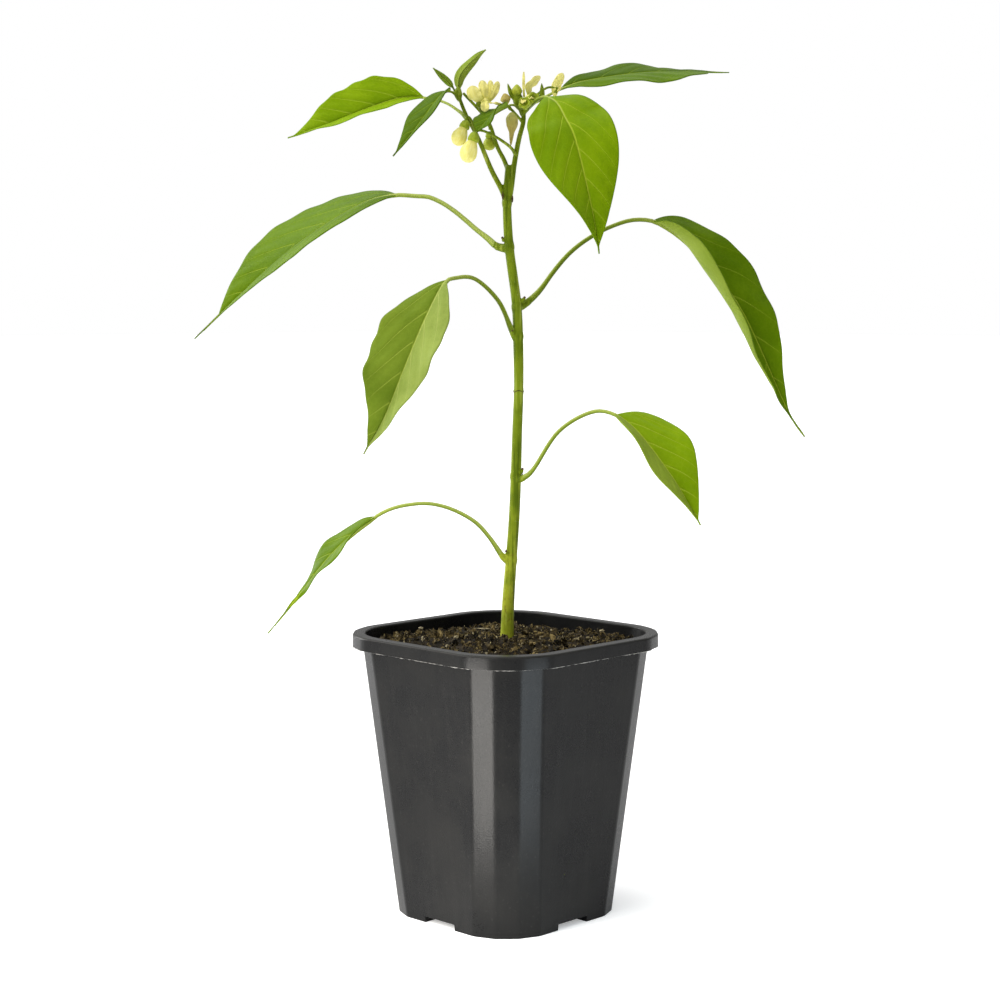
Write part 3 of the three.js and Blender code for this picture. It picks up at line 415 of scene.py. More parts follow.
# Petals, buds and cups: the material, its tone, its foot's tone, its ribs' tone, and how much the ribs show
PETAL_SKINS = {
    "petal": ("petal_pale_yellow", (0.84, 0.76, 0.19), (0.58, 0.58, 0.07), (0.94, 0.9, 0.46), 0.5),
    "green_bud": ("bud_green", (0.33, 0.38, 0.015), (0.2, 0.28, 0.008), (0.46, 0.5, 0.05), 0.5),
    "calyx": ("calyx_green", (0.28, 0.36, 0.006), (0.19, 0.28, 0.004), (0.44, 0.5, 0.03), 0.4),
    "withered": ("withered_tan", (0.38, 0.3, 0.06), (0.66, 0.64, 0.2), (0.5, 0.42, 0.12), 0.5),
}
finishes = {
    "pot": pot_plastic(), "stem": green_stem(), "stalk": stalk_skin(),
    # Pale grey on the flash: a painted highlight, not the plastic's colour.
    "flash": Finish("mould_flash_painted_highlight", Roughness=0.5).done((0.27, 0.26, 0.24)),
    "hair": Finish("plant_hair", Roughness=0.5).done((0.55, 0.62, 0.3)),
    **{key: leaf_skin(key, *skin) for key, skin in LEAF_SKINS.items()},
    **{key: compost(*skin) for key, skin in GRAINS.items()},
    **{key: petal_skin(*skin) for key, skin in PETAL_SKINS.items()},
}
finishes["dusty_under"], finishes["bright_under"] = finishes["full_under"], finishes["fresh_under"]


def clear():
    bpy.ops.object.select_all(action="DESELECT")


def only(*pieces):
    clear()
    for piece in pieces:
        piece.select_set(True)
    bpy.context.view_layer.objects.active = pieces[0]


def made(operator, **settings):
    """What a primitive's operator makes, with its placing applied to it."""
    clear()
    operator(**settings)
    bpy.ops.object.transform_apply()
    return bpy.context.object


def linked(name, data):
    """A new object in the scene that shows this data."""
    piece = bpy.data.objects.new(name, data)
    bpy.context.collection.objects.link(piece)
    return piece


def apply(piece, kind, **settings):
    only(piece)
    modifier = piece.modifiers.new(kind.lower(), kind)
    for name, value in settings.items():
        setattr(modifier, name, value)
    bpy.ops.object.modifier_apply(modifier=modifier.name)


def joined(name, pieces):
    only(*pieces)
    if len(pieces) > 1:
        bpy.ops.object.join()
    piece = bpy.context.view_layer.objects.active
    piece.name = piece.data.name = name
    return piece


def dress(piece, *names):
    piece.data.materials.clear()
    for name in names:
        piece.data.materials.append(finishes[name])
    return piece


def smooth(piece, degrees=None):
    only(piece)
    if degrees is None:
        bpy.ops.object.shade_smooth()
    else:
        bpy.ops.object.shade_smooth_by_angle(angle=radians(degrees))
    return piece


def face_outward(piece, weld=False):
    """Turns every face outward, and with weld first merges the vertices that share a place."""
    only(piece)
    bpy.ops.object.mode_set(mode="EDIT")
    bpy.ops.mesh.select_all(action="SELECT")
    if weld:
        bpy.ops.mesh.remove_doubles(threshold=1e-6)
    bpy.ops.mesh.normals_make_consistent(inside=False)
    bpy.ops.object.mode_set(mode="OBJECT")


def put(piece, points):
    """Moves a piece's vertices to these points."""
    piece.data.vertices.foreach_set("co", np.asarray(points, float).ravel())
    piece.data.update()


def points_of(piece):
    points = np.empty(len(piece.data.vertices) * 3)
    piece.data.vertices.foreach_get("co", points)
    return points.reshape(-1, 3)


def in_place(points):
    """Points of the plant's own setting out, in millimetres, as points of the part, in metres."""
    points = np.asarray(points, float)
    c, s = cos(PLANT_TURN), sin(PLANT_TURN)
    x, y, z = points[..., 0], points[..., 1], points[..., 2]
    return np.stack([c * x - s * y, s * x + c * y, z], -1) * MM


def unit(vectors):
    vectors = np.asarray(vectors, float)
    return vectors / np.linalg.norm(vectors, axis=-1, keepdims=True)


def spread(u, values):
    """Values that stand evenly along a length, read off at the shares u of it."""
    return np.interp(u, np.linspace(0, 1, len(values)), values)


class Route:
    """A smooth curve through points, measured by its length."""

    def __init__(self, points):
        p = np.array(points, float)
        self.points = np.vstack([2 * p[0] - p[1], p, 2 * p[-1] - p[-2]])
        self.shares = np.linspace(0, 1, 201)
        steps = np.linalg.norm(np.diff(self.raw(self.shares), axis=0), axis=1)
        self.lengths = np.concatenate([[0], np.cumsum(steps)])
        self.length = self.lengths[-1]

    def raw(self, t):
        spans = len(self.points) - 3
        place = np.clip(t, 0, 1) * spans
        i = np.minimum(place.astype(int), spans - 1)
        w = (place - i)[:, None]
        a, b, c, d = (self.points[i + k] for k in range(4))
        m, n = (c - a) / 2, (d - b) / 2
        return b + m * w + (3 * (c - b) - 2 * m - n) * w ** 2 + (2 * (b - c) + m + n) * w ** 3

    def share(self, u):
        return np.interp(np.asarray(u, float) * self.length, self.lengths, self.shares)

    def at(self, u):
        return self.raw(self.share(u))

    def tangent(self, u):
        t = self.share(u)
        return unit(self.raw(np.minimum(t + 1e-4, 1)) - self.raw(np.maximum(t - 1e-4, 0)))

    def framed(self, u, heading, roll, t):
        """The tangent, the way across a blade and the way its face looks, turned by its roll."""
        tangent, h = self.tangent(u), radians(heading)
        level = np.array([-sin(h), cos(h), 0])
        side = unit(level - tangent * (level * tangent).sum(1)[:, None])
        turn = np.radians(roll[0] + (roll[1] - roll[0]) * t)[:, None]
        side = side * np.cos(turn) + np.cross(tangent, side) * np.sin(turn)
        return tangent, side, np.cross(tangent, side)


def laid_grid(name, points, weld=False):
    """A grid laid over rows and columns of points, with the row and column of each vertex."""
    rows, columns = points.shape[0] - 1, points.shape[1] - 1
    piece = made(bpy.ops.mesh.primitive_grid_add, x_subdivisions=rows, y_subdivisions=columns, size=2)
    piece.name = piece.data.name = name
    flat = points_of(piece)
    i = np.rint((flat[:, 0] + 1) / 2 * rows).astype(int)
    k = np.rint((flat[:, 1] + 1) / 2 * columns).astype(int)
    put(piece, points[i, k])
    if weld:
        face_outward(piece, weld)
    return piece, i, k


def add_uv(piece, name, first, second):
    """A UV map from two values for each vertex."""
    layer = piece.data.uv_layers.get(name) or piece.data.uv_layers.new(name=name)
    corners = np.empty(len(piece.data.loops), int)
    piece.data.loops.foreach_get("vertex_index", corners)
    layer.uv.foreach_set("vector", np.stack([first, second], -1)[corners].astype(np.float32).ravel())


def tube(name, points, radii, sides):
    """A round tube through points, in metres, with a radius at each."""
    data = bpy.data.curves.new(name, "CURVE")
    data.dimensions = "3D"
    data.bevel_depth = 1.0
    data.bevel_resolution = sides // 2
    data.use_fill_caps = True
    data.twist_mode = "MINIMUM"
    line = data.splines.new("POLY")
    line.points.add(len(points) - 1)
    for knot, point, radius in zip(line.points, points, radii):
        knot.co = (*point, 1)
        knot.radius = radius
    piece = linked(name, data)
    only(piece)
    bpy.ops.object.convert(target="MESH")
    return piece


def route_tube(name, route, radii, steps, sides):
    """A tube along a route of the plant, in millimetres, its radius read off along it."""
    shares = np.linspace(0, 1, steps + 1)
    return tube(name, in_place(Route(route).at(shares)), spread(shares, radii) * MM, sides)


def pipe(name, line, tangent, side, radii, around=10):
    """A round tube with its UVs along it and round it, closed at both ends; millimetres."""
    angle = np.linspace(0, 2 * pi, around + 1)[None, :, None]
    ring = -side[:, None] * np.sin(angle) - np.cross(tangent, side)[:, None] * np.cos(angle)
    reach = np.concatenate([[0], radii, [0]])[:, None, None]
    ends = np.concatenate([[0], np.arange(len(line)), [len(line) - 1]])
    return laid_grid(name, in_place(line[ends][:, None] + ring[ends] * reach))[0]


def swollen(name, route, radii, ribs=0, rib_depth=0.0, twist=0.0, around=24, rings=18, blunt=3.0):
    """A closed plump body along a route of the plant, from a sphere, rounded off at both ends."""
    piece = made(bpy.ops.mesh.primitive_uv_sphere_add, segments=around, ring_count=rings, radius=1)
    ball = points_of(piece)
    u = np.arccos(np.clip(ball[:, 2], -1, 1)) / pi
    angle = np.arctan2(ball[:, 1], ball[:, 0])
    line = Route(route)
    tangent = line.tangent(u)
    across = unit(ASKEW - tangent * (tangent @ ASKEW)[:, None])
    reach = spread(u, radii) * np.sqrt(1 - np.abs(2 * u - 1) ** blunt)
    reach = reach * (1 + rib_depth * np.cos(ribs * (angle + twist * u))) if ribs else reach
    turned = across * np.cos(angle)[:, None] + np.cross(tangent, across) * np.sin(angle)[:, None]
    put(piece, in_place(line.at(u) + turned * reach[:, None]))
    add_uv(piece, "UVMap", u, np.abs(angle) / (2 * pi))
    piece.name = piece.data.name = name
    face_outward(piece)
    return smooth(piece)


def knob(name, centre, reach, radii, *ribs, **shape):
    """A swollen body that stands straight, as far before its centre as past it."""
    centre, reach = np.array(centre), np.array(reach)
    return swollen(name, [centre - reach, centre, centre + reach], radii, *ribs, **shape)


def stands_for(piece, finish, slot, *nodes):
    """Dresses a piece, unless it wears its finishes, hangs it under the root body and hides the parts it
    stands for.
    """
    if finish:
        dress(piece, finish)
    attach(piece, "root")
    if nodes:
        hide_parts(*nodes)


# The pot
def section(across, facet, z, per_side=1, per_facet=1):
    """The pot's outline at a height: long sides joined by three facets at each corner."""
    corner = facet * (cos(CORNER_TURN) + sin(CORNER_TURN) + sqrt(0.5))
    x, y, outline = across / 2, corner - across / 2, []
    for side in range(4):
        for part in range(4):
            angle = pi / 2 * (side + 1) + CORNER_TURN * part
            length, steps = (facet, per_facet) if part else (across - 2 * corner, per_side)
            for _ in range(steps):
                outline.append((x, y, z))
                x += cos(angle) * length / steps
                y += sin(angle) * length / steps
    return np.array(outline)


def wall_section(z, offset=0.0, per_side=1, per_facet=1):
    share = z / SKIRT_TOP
    facet = BASE_FACET + (TOP_FACET - BASE_FACET) * share + 2 * offset * tan(CORNER_TURN / 2)
    across = BASE_ACROSS + (BODY_TOP_ACROSS - BASE_ACROSS) * share + 2 * offset
    return section(across, facet, z, per_side, per_facet)


def rim_section(z, inset=0.0):
    offset = (RIM_ACROSS - BODY_TOP_ACROSS) / 2 - inset
    return section(RIM_ACROSS - 2 * inset, TOP_FACET + 2 * offset * tan(CORNER_TURN / 2), z)


def rounded(outline, reach):
    """The same outline with each of its corners eased over three points."""
    ends = [outline + unit(np.roll(outline, shift, 0) - outline) * reach for shift in (1, -1)]
    return np.stack([ends[0], (ends[0] + 2 * outline + ends[1]) / 4, ends[1]], 1).reshape(-1, 3)


def drawn_up(name, outlines):
    """A closed shell: a flat face, extruded from outline to outline."""
    piece = made(bpy.ops.mesh.primitive_circle_add, vertices=len(outlines[0]), radius=1, fill_type="NGON")
    piece.name = name
    order = np.argsort(np.arctan2(*(points_of(piece)[:, [1, 0]].T)) % (2 * pi))
    start = np.argsort(np.arctan2(outlines[0][:, 1], outlines[0][:, 0]) % (2 * pi))
    points = points_of(piece)
    points[order] = outlines[0][start] * MM
    put(piece, points)
    for before, after in zip(outlines, outlines[1:]):
        bpy.ops.object.mode_set(mode="EDIT")
        bpy.ops.mesh.extrude_region_move()
        bpy.ops.object.mode_set(mode="OBJECT")
        points = points_of(piece)
        for vertex in piece.data.vertices:
            if vertex.select:
                nearest = np.argmin(np.abs(before * MM - points[vertex.index]).sum(1))
                points[vertex.index] = after[nearest] * MM
        put(piece, points)
    face_outward(piece)
    return piece


def block(y, z, width, depth, height):
    return made(bpy.ops.mesh.primitive_cube_add, size=1, location=(0, y * MM, (z + height / 2) * MM),
                scale=(width * MM, depth * MM, height * MM))


def cut_drains(pot):
    """On each side a recess under a raised piece of floor, with a round hole through it."""
    floor_inset, past = 0.7, 5
    for turn in range(4):
        around = Matrix.Rotation(turn * pi / 2, 4, "Z")
        roof = block((DRAIN_DEPTH + WALL - BASE_ACROSS + floor_inset) / 2, floor_inset,
                     DRAIN_WIDTH + 2 * WALL, DRAIN_DEPTH + WALL - floor_inset,
                     DRAIN_HEIGHT + FLOOR - floor_inset)
        recess = block((DRAIN_DEPTH - past - BASE_ACROSS) / 2, -1, DRAIN_WIDTH, DRAIN_DEPTH + past,
                       DRAIN_HEIGHT + 1)
        hole = made(bpy.ops.mesh.primitive_cylinder_add, vertices=24, radius=DRAIN_HOLE * MM, depth=6 * MM,
                    location=(0, (DRAIN_DEPTH / 2 + WALL - BASE_ACROSS / 2) * MM, 4 * MM))
        for tool, operation in ((roof, "UNION"), (recess, "DIFFERENCE"), (hole, "DIFFERENCE")):
            tool.data.transform(around)
            apply(pot, "BOOLEAN", object=tool, operation=operation, solver="EXACT")
            bpy.data.objects.remove(tool)


def make_pot():
    arc = [(LIP_CURVE * (1 - sin(a)), LIP_CURVE * (1 - cos(a)))
           for a in np.radians([0, 20, 40, 60, 75, 90])]
    outlines = [
        wall_section(0), wall_section(SKIRT_TOP + 3), rim_section(SKIRT_TOP + 3, WALL),
        rim_section(SKIRT_TOP, WALL), rim_section(SKIRT_TOP, -RIM_OUT),
        *(rim_section(POT_HEIGHT - drop, inset - LIP_OUT) for drop, inset in arc),
        wall_section(POT_HEIGHT, 0.4 - WALL), wall_section(POT_HEIGHT - 0.12, 0.12 - WALL),
        wall_section(POT_HEIGHT - 0.5, -WALL), wall_section(FLOOR, -WALL)]
    softness = [1.1, 1.3, 1.3, 1.3, RIM_SOFTNESS, *np.linspace(2.8, 4.3, len(arc)), *[4.3] * 4]
    pot = drawn_up("pot_shell", [rounded(line, reach) for line, reach in zip(outlines, softness)])
    cut_drains(pot)
    apply(pot, "BEVEL", width=0.3 * MM, segments=2, limit_method="ANGLE", angle_limit=radians(40),
          use_clamp_overlap=True)
    smooth(pot, 35)
    apply(pot, "WEIGHTED_NORMAL", keep_sharp=True)
    stands_for(pot, "pot", "pot_plastic", "pot")


def make_flash():
    """The thin broken line of mould flash under the rim: the ridge is real, its pale grey colour a painted
    highlight.
    """
    ring = rounded(rim_section(SKIRT_TOP, -RIM_OUT), RIM_SOFTNESS)
    ring = np.vstack([ring, ring[:1]])
    walked = np.concatenate([[0], np.cumsum(np.linalg.norm(np.diff(ring, axis=0), axis=1))])
    stops = np.linspace(0, walked[-1], 700)
    line = np.stack([np.interp(stops, walked, ring[:, n]) for n in range(3)], 1)
    thick = [0.16 * min(max(0.1 + 1.5 * noise.noise(Vector(point) * 0.14)
                            + 1.1 * noise.noise(Vector(point) * 0.6), 0.05), 1) for point in line]
    stands_for(smooth(tube("rim_flash", line * MM, np.array(thick) * MM, 4)), "flash", "pot_plastic")


# The compost
def soil_height(x, y, edge):
    """The broad lie of the compost: lower at the pot's edge and behind, with slow waves."""
    behind = np.maximum(0, (y - x) / BODY_TOP_ACROSS)
    crumbs = (np.sin(0.61 * x + 1.3) * np.cos(0.53 * y - 0.6) + 0.7 * np.sin(1.13 * x - 0.87 * y + 2.1)
              + 0.5 * np.sin(1.9 * y + 0.7 * x))
    return SOIL_LEVEL + (SOIL_SIDE - SOIL_LEVEL) * edge ** 4 - SOIL_DIP * behind ** 1.5 + 0.5 * crumbs


def roughened(x, y):
    return (1.5 * noise.fractal((x * 0.32, y * 0.32, 3.1), 0.7, 2.1, 4)
            + 0.5 * noise.noise((x * 1.3, y * 1.3, 9)))


def soil_top(x, y, edge):
    return soil_height(x, y, edge) + roughened(x, y)


def make_soil():
    inside = (-WALL - 0.3, *SOIL_STEPS)
    rings = [wall_section(2.2, *inside), wall_section(60, *inside)]
    for edge in np.linspace(1, 0, 46):
        ring = wall_section(SOIL_SIDE - SOIL_DIP - 2, *inside) * (edge, edge, 1)
        ring[:, 2] = soil_height(ring[:, 0], ring[:, 1], edge)
        ring[:, 2] += [roughened(x, y) for x, y, _ in ring]
        rings.append(ring)
    rings = np.array([rings[0] * (0, 0, 1), *rings])
    rings = np.concatenate([rings, rings[:, :1]], 1) * MM
    bed = laid_grid("soil_bed", rings, weld=True)[0]
    stands_for(smooth(bed), "soil", "compost", "soil")


def scattered(name, finish, slot, models, places):
    """Copies of a few models, each turned and sized at its own place, as one piece."""
    copies = []
    for point, turn, size in places:
        copy = linked("copy", random.choice(models).data.copy())
        copy.data.transform(Matrix.LocRotScale(Vector(point) * MM, Euler(turn), Vector(size) * MM))
        copies.append(copy)
    for model in models:
        bpy.data.objects.remove(model)
    stands_for(joined(name, copies), finish, slot)


def crumb_models(count, rough, segments=8, rings=6):
    models = []
    for n in range(count):
        model = made(bpy.ops.mesh.primitive_uv_sphere_add, segments=segments, ring_count=rings, radius=0.5)
        put(model, [p * (1 + rough * noise.noise(Vector(p) * 3.2 + Vector((n * 7.1, 0, 0)))) * (1, 1, 0.75)
                    for p in points_of(model)])
        bpy.ops.object.shade_flat()
        models.append(model)
    return models


def on_soil(reach, lift):
    """A random point on the soil, clear of the stem and inside the pot's wall."""
    while True:
        edge, n = sqrt(random.random()) * reach, random.randrange(256)
        ring = wall_section(112, -WALL - 1.2, *SOIL_STEPS)
        x, y, _ = ring[n % len(ring)] * edge
        if hypot(x - STEM_FOOT[0], y - STEM_FOOT[1]) > GRAIN_CLEAR:
            return x, y, soil_top(x, y, edge) + lift


def any_turn():
    return tuple(random.uniform(0, 6.28) for _ in range(3))


def strewn(name, finish, count, models, width, reach, lift, shape, placed=()):
    """Grains all over the soil. How far out and how high one lies may change with its width."""
    places = list(placed)
    for _ in range(count):
        size = width()
        place = on_soil(reach[0] + reach[1] * size, lift[0] + lift[1] * size)
        places.append((place, any_turn(), [size * share for share in shape()]))
    scattered(name, finish, "compost", models, places)


def make_crumbs():
    draw = random.uniform
    strewn("soil_crumbs", "crumb", 900, crumb_models(7, 1.1), lambda: min(0.6 + random.expovariate(1.3), 4.4),
           (0.975, -0.006), (0, 0.12), lambda: (draw(0.9, 1.5), 1, draw(0.6, 1)))
    strewn("soil_fine_crumbs", "crumb", 1300, crumb_models(3, 0.9, 6, 4), lambda: draw(0.35, 0.95),
           (0.985, 0), (0.1, 0), lambda: (1, 1.2, 1))
    strewn("soil_bark_chips", "bark", 520, crumb_models(4, 0.8), lambda: 0.7 + 3.4 * random.random() ** 1.8,
           (0.93, 0), (0.6, 0), lambda: (1, draw(0.35, 0.65), 0.2))


def make_fibres():
    strands = []
    for n in range(90):
        x, y, z = on_soil(0.9, 0.5)
        heading, length = random.uniform(0, 6.28), random.uniform(3, 11)
        line = []
        for s in np.arange(7) / 6:
            bend = heading + (s - 0.5) * random.uniform(-0.6, 0.6) + 0.7 * sin(n + 2 * s)
            x, y = x + cos(bend) * length / 6, y + sin(bend) * length / 6
            out = max(abs(x), abs(y))
            if out > FIBRE_SIDE or abs(x) + abs(y) > FIBRE_CORNER or hypot(x, y) < FIBRE_CLEAR:
                break
            z = soil_top(x, y, out / 49) + 0.5 + 0.9 * sin(pi * s)
            line.append((x * MM, y * MM, z * MM))
        if len(line) > 3:
            radius = random.uniform(0.1, 0.26) * MM
            strands.append(tube("fibre", line, [radius] * (len(line) - 1) + [radius * 0.4], 2))
    stands_for(smooth(joined("soil_fibres", strands)), "bark", "compost")


def make_pale_bits():
    places = []
    for u, v, length, thick, turn in PALE_BITS:
        x, y, _ = in_place((u, v, 0)) / MM
        tilt = (random.uniform(-0.2, 0.2), random.uniform(-0.2, 0.2), PLANT_TURN + turn)
        places.append(((x, y, soil_top(x, y, 0.7) + 1.6), tilt, (length, thick, thick * 0.8)))
    strewn("soil_pale_bits", "pale_bits", 200, crumb_models(4, 0.7), lambda: 0.3 + random.random() ** 3,
           (0.9, 0), (0.5, 0), lambda: (random.uniform(1, 2.4), 1, 0.7), places)


# The plant
def make_stem():
    """Trunk, branches, cups, leaf feet, axil buds and nodes, grown together into one skin."""
    pieces = [route_tube("trunk", STEM_ROUTE, STEM_RADII, 90, 12)]
    for route, first, last in BRANCHES:
        pieces.append(route_tube("branch", route, (first * 0.94, last * 0.86), 24, 8))
    for route, radii in GREEN_CUPS:
        pieces.append(swollen("cup", route, radii, around=14, rings=12))
    for leaf in LEAVES.values():
        if leaf.stalk > 0.55:
            steps = np.linspace(0, 1, 5)
            radii = spread(steps, np.array([1.9, 1.6, 0.9]) * leaf.stalk) * MM
            pieces.append(tube("knuckle", in_place(Route(leaf.route).at(steps * 0.06)), radii, 8))
    for (u, v, z), (du, dv), size in AXIL_BUDS:
        route = [(u, v, z - size), (u + du * 0.5, v + dv * 0.5, z), (u + du, v + dv, z + size * 1.3)]
        pieces.append(swollen("axil_bud", route, [size * 0.8, size * 0.8, size * 0.5], around=12, rings=10))
    for height, swell in NODE_SWELLS:
        share = np.interp(height, [p[2] for p in STEM_ROUTE], np.linspace(0, 1, len(STEM_ROUTE)))
        radius = spread(share, STEM_RADII)
        pieces.append(knob("node", Route(STEM_ROUTE).raw(np.array([share]))[0], (0, 0, 4.2),
                           [radius * 0.9, radius + swell, radius * 0.9], around=18, rings=12))
    stem = joined("stem_green", pieces)
    stem.data.remesh_voxel_size = 0.36 * MM
    only(stem)
    bpy.ops.object.voxel_remesh()
    apply(stem, "SMOOTH", factor=0.5, iterations=5)
    stands_for(smooth(stem), "stem", "green_stem", "stem")


def make_scars():
    """Brown corky marks: the tips of the axil buds, the fork's scars, and an old ring round the stem."""
    pieces = []
    for (u, v, z), (du, dv), size in AXIL_BUDS:
        tip = np.array([u + du * 0.9, v + dv * 0.9, z + size * 0.4])
        pieces.append(swollen("tip", [tip, tip + (du * 0.1, dv * 0.1, 0.5), tip + (du * 0.2, dv * 0.2, 1.2)],
                              [0.5, 0.62, 0.4], around=8, rings=6, blunt=2))
    for place in FORK_SCARS:
        pieces.append(knob("scar", place, (0, 0, 1.6), [0.3, 0.42, 0.3], around=8, rings=8))
    turns = np.linspace(0, 2 * pi, 40)
    ring = np.stack([2.16 * np.cos(turns), 2.16 * np.sin(turns), 0.35 * np.sin(turns * 3)], 1)
    pieces.append(tube("ring", in_place(ring + RING_SCAR), np.full(40, 0.16 * MM), 5))
    stands_for(smooth(joined("stem_scars", pieces)), "scar", "green_stem")


def blade_grid(leaf, rows, columns, ripple=0.2):
    """Points of a blade with, at each, the vein count, the distance from the midrib and the share."""
    rise_power, fall_power, start = (*leaf.powers, 0.035)[:3]
    line = Route(leaf.route)
    t = np.linspace(0, 1, rows + 1)
    s = np.linspace(-1, 1, columns + 1)[None, :]
    left, out = s < 0, np.abs(s)
    u = leaf.begin + (1 - leaf.begin) * t
    _, side, face = line.framed(u, leaf.heading, leaf.roll, t)
    bend = np.radians(leaf.fold[0] + (leaf.fold[1] - leaf.fold[0]) * t)[:, None]
    # The outline: how far the blade reaches at each place along it
    widest = rise_power / (rise_power + fall_power)
    place = np.minimum(t / (1 - leaf.tail), 1)
    outline = (place / widest) ** rise_power * ((1 - place) / (1 - widest)) ** fall_power
    reach = np.maximum(leaf.half * outline * (1 - 0.75 * np.exp(-t / start)), 0.5 - 0.2 * t)[:, None]
    t = t[:, None]
    height, number, shift = leaf.wave
    scallops = np.sin(7.3 * leaf.pairs * t + leaf.heading + 1.9 * left) * s ** 2 * np.minimum(reach / 8, 1)
    width = reach * out * (1 + np.sign(s) * leaf.skew) * (1 + SCALLOP * scallops * (number > 2))
    # One half may be rolled up
    curled = left * (leaf.curl is not None)
    curl = np.radians(np.interp(t, [0, 1], leaf.curl or (0, 0)))
    roll_up = curled * curl * np.minimum(reach / 4, 1) * out / 2
    chord = width * np.sinc(roll_up / pi)
    # Veins, the quilting between them, the wave and the groove over the midrib
    length = line.length * (1 - leaf.begin)
    swing = np.sin(2 * pi * number * t + shift + left * 2) * np.sin(pi * t)
    phase = leaf.pairs * (t - (1.5 * width + 0.022 * width ** 2) / length) + 0.35 * left
    quilting = np.sin(2 * pi * phase) * np.sin(pi * out) * np.minimum(width / 6, 1)
    groove = 0.25 * np.minimum(reach / 4, 1) * np.exp(-(width / 0.9) ** 2)
    rise = chord * np.sin(bend + roll_up) - 0.12 * width * out * (1 - curled) + height * s ** 2 * swing
    rise = rise + ripple * quilting - groove
    points = (line.at(u)[:, None] + side[:, None] * (np.sign(s) * chord * np.cos(bend + roll_up))[..., None]
              + face[:, None] * rise[..., None])
    return points, phase, width, length / leaf.pairs + 0 * width, out + 0 * width


def make_leaf(name, leaf):
    """A blade, its two halves and its underside each with a finish, where one half may wear a paler tone as
    painted light, and the stalk that runs on under it.
    """
    grown, tiny = leaf.half > 10, leaf.half < 4
    rows, columns = (112, 40) if grown else (26, 8) if tiny else (64, 20)
    points, *values = blade_grid(leaf, rows, columns)
    blade, i, k = laid_grid(name, in_place(points))
    phase, width, spacing, share = (value[i, k] for value in values)
    add_uv(blade, "veins", phase, width)
    add_uv(blade, "scale", spacing, share)
    painted_lit_side, painted_lit_tone = PAINTED_LIT_HALVES.get(name, (0, leaf.tone))
    dress(blade, leaf.tone, leaf.tone + "_under", painted_lit_tone, leaf.tone + "_under", "stalk")
    # The faces of one half take the paler tone: painted light on that half.
    for face in blade.data.polygons:
        across = np.mean([k[vertex] for vertex in face.vertices]) - columns / 2
        face.material_index = 2 if across * painted_lit_side > 0 else 0
    thick = (0.28 if tiny else 0.42) * MM
    apply(blade, "SOLIDIFY", thickness=thick, offset=0, material_offset=1, material_offset_rim=0)
    begin, end, line = leaf.begin, 0.97, Route(leaf.route)
    shares = np.concatenate([np.linspace(0, begin, 26), np.linspace(begin, end, 30)[1:]])
    radii = np.interp(shares, [0, 0.03, 0.09, begin * 0.6, begin, begin + (1 - begin) * 0.25, end],
                      np.array([1.35, 1.45, 1.02, 0.92, 0.9, 0.62, 0.16]) * leaf.stalk)
    t = np.clip((shares - begin) / (1 - begin), 0, 1)
    tangent, side, face = line.framed(shares, leaf.heading, leaf.roll, t)
    drop = np.interp(t, [0, 0.06, 1], [0, 0.55, 0.85]) * radii + 0.18 * np.minimum(t * 12, 1)
    stalk = pipe(name + "_stalk", line.at(shares) - face * drop[:, None], tangent, side, radii)
    piece = smooth(joined(name, [blade, dress(stalk, "stalk")]))
    stands_for(piece, None, "leaf_blade" if grown else "young_leaf", name)


def make_calyces():
    """The buds' calyces, and the open cups that fallen flowers have left, each with a hollow."""
    pieces = []
    for top, toward, length, radius, _ in BUDS.values():
        start, way = np.array(top), unit(toward)
        route = [start - way * 0.5, start + way * length * 0.15, start + way * length * 0.33]
        pieces.append(swollen("calyx", route, radius * np.array([0.3, 0.56, 0.68, 0.74]), 5, 0.05,
                              around=20, rings=14, blunt=6))
    for foot, facing, radius in OPEN_CUPS:
        way = unit(facing)
        cup = knob("cup", foot, way * radius, [radius * 0.8, radius * 1.1, radius], 5, 0.1,
                   around=30, rings=16, blunt=4)
        points = points_of(cup)
        hollow = np.linalg.norm(points - in_place(np.array(foot) + way * radius), axis=1) / (radius * MM)
        put(cup, points - in_place(way) * (np.clip(1.0 - hollow, 0, 1) * radius * 1.3)[:, None])
        pieces.append(cup)
    stands_for(smooth(joined("calyces", pieces)), "calyx", "green_bud")


def make_flowers():
    for name, (top, toward, length, radius, finish) in BUDS.items():
        start, way = np.array(top), unit(toward)
        route = [start + way * length * 0.14, start + way * length * 0.55, start + way * length]
        bud = swollen(name, route, radius * np.array([0.5, 0.72, 0.98, 1.1, 1.12]), 5, 0.04, 1.2,
                      around=40, rings=28, blunt=2.4)
        stands_for(bud, finish, "pale_petal" if finish == "petal" else "green_bud", name)
    make_calyces()
    for name, (heart, radius, petals) in PETALS.items():
        pieces = [knob("heart", heart, (0, 0, radius), [radius] * 3, 5, 0.08, blunt=2)]
        for n, (route, half, heading, roll) in enumerate(petals):
            petal = Leaf(route, 0, 0, half, (0.6, 0.42), 0, 0, heading, (roll, roll), (26, 8),
                         (0.5, 2.3, n), 1)
            sheet = laid_grid("petal", in_place(blade_grid(petal, 18, 10, 0)[0]))[0]
            apply(sheet, "SOLIDIFY", thickness=0.3 * MM, offset=0)
            apply(sheet, "SUBSURF", levels=1, render_levels=1)
            pieces.append(sheet)
        stands_for(smooth(joined(name, pieces)), "petal", "pale_petal", name)
    for name, (route, radii, finish) in LUMPS.items():
        lump = swollen(name, route, radii, 7, 0.07, 1.5, around=42, rings=26)
        stands_for(lump, finish, "green_bud" if finish == "green_bud" else "withered_tissue", name)


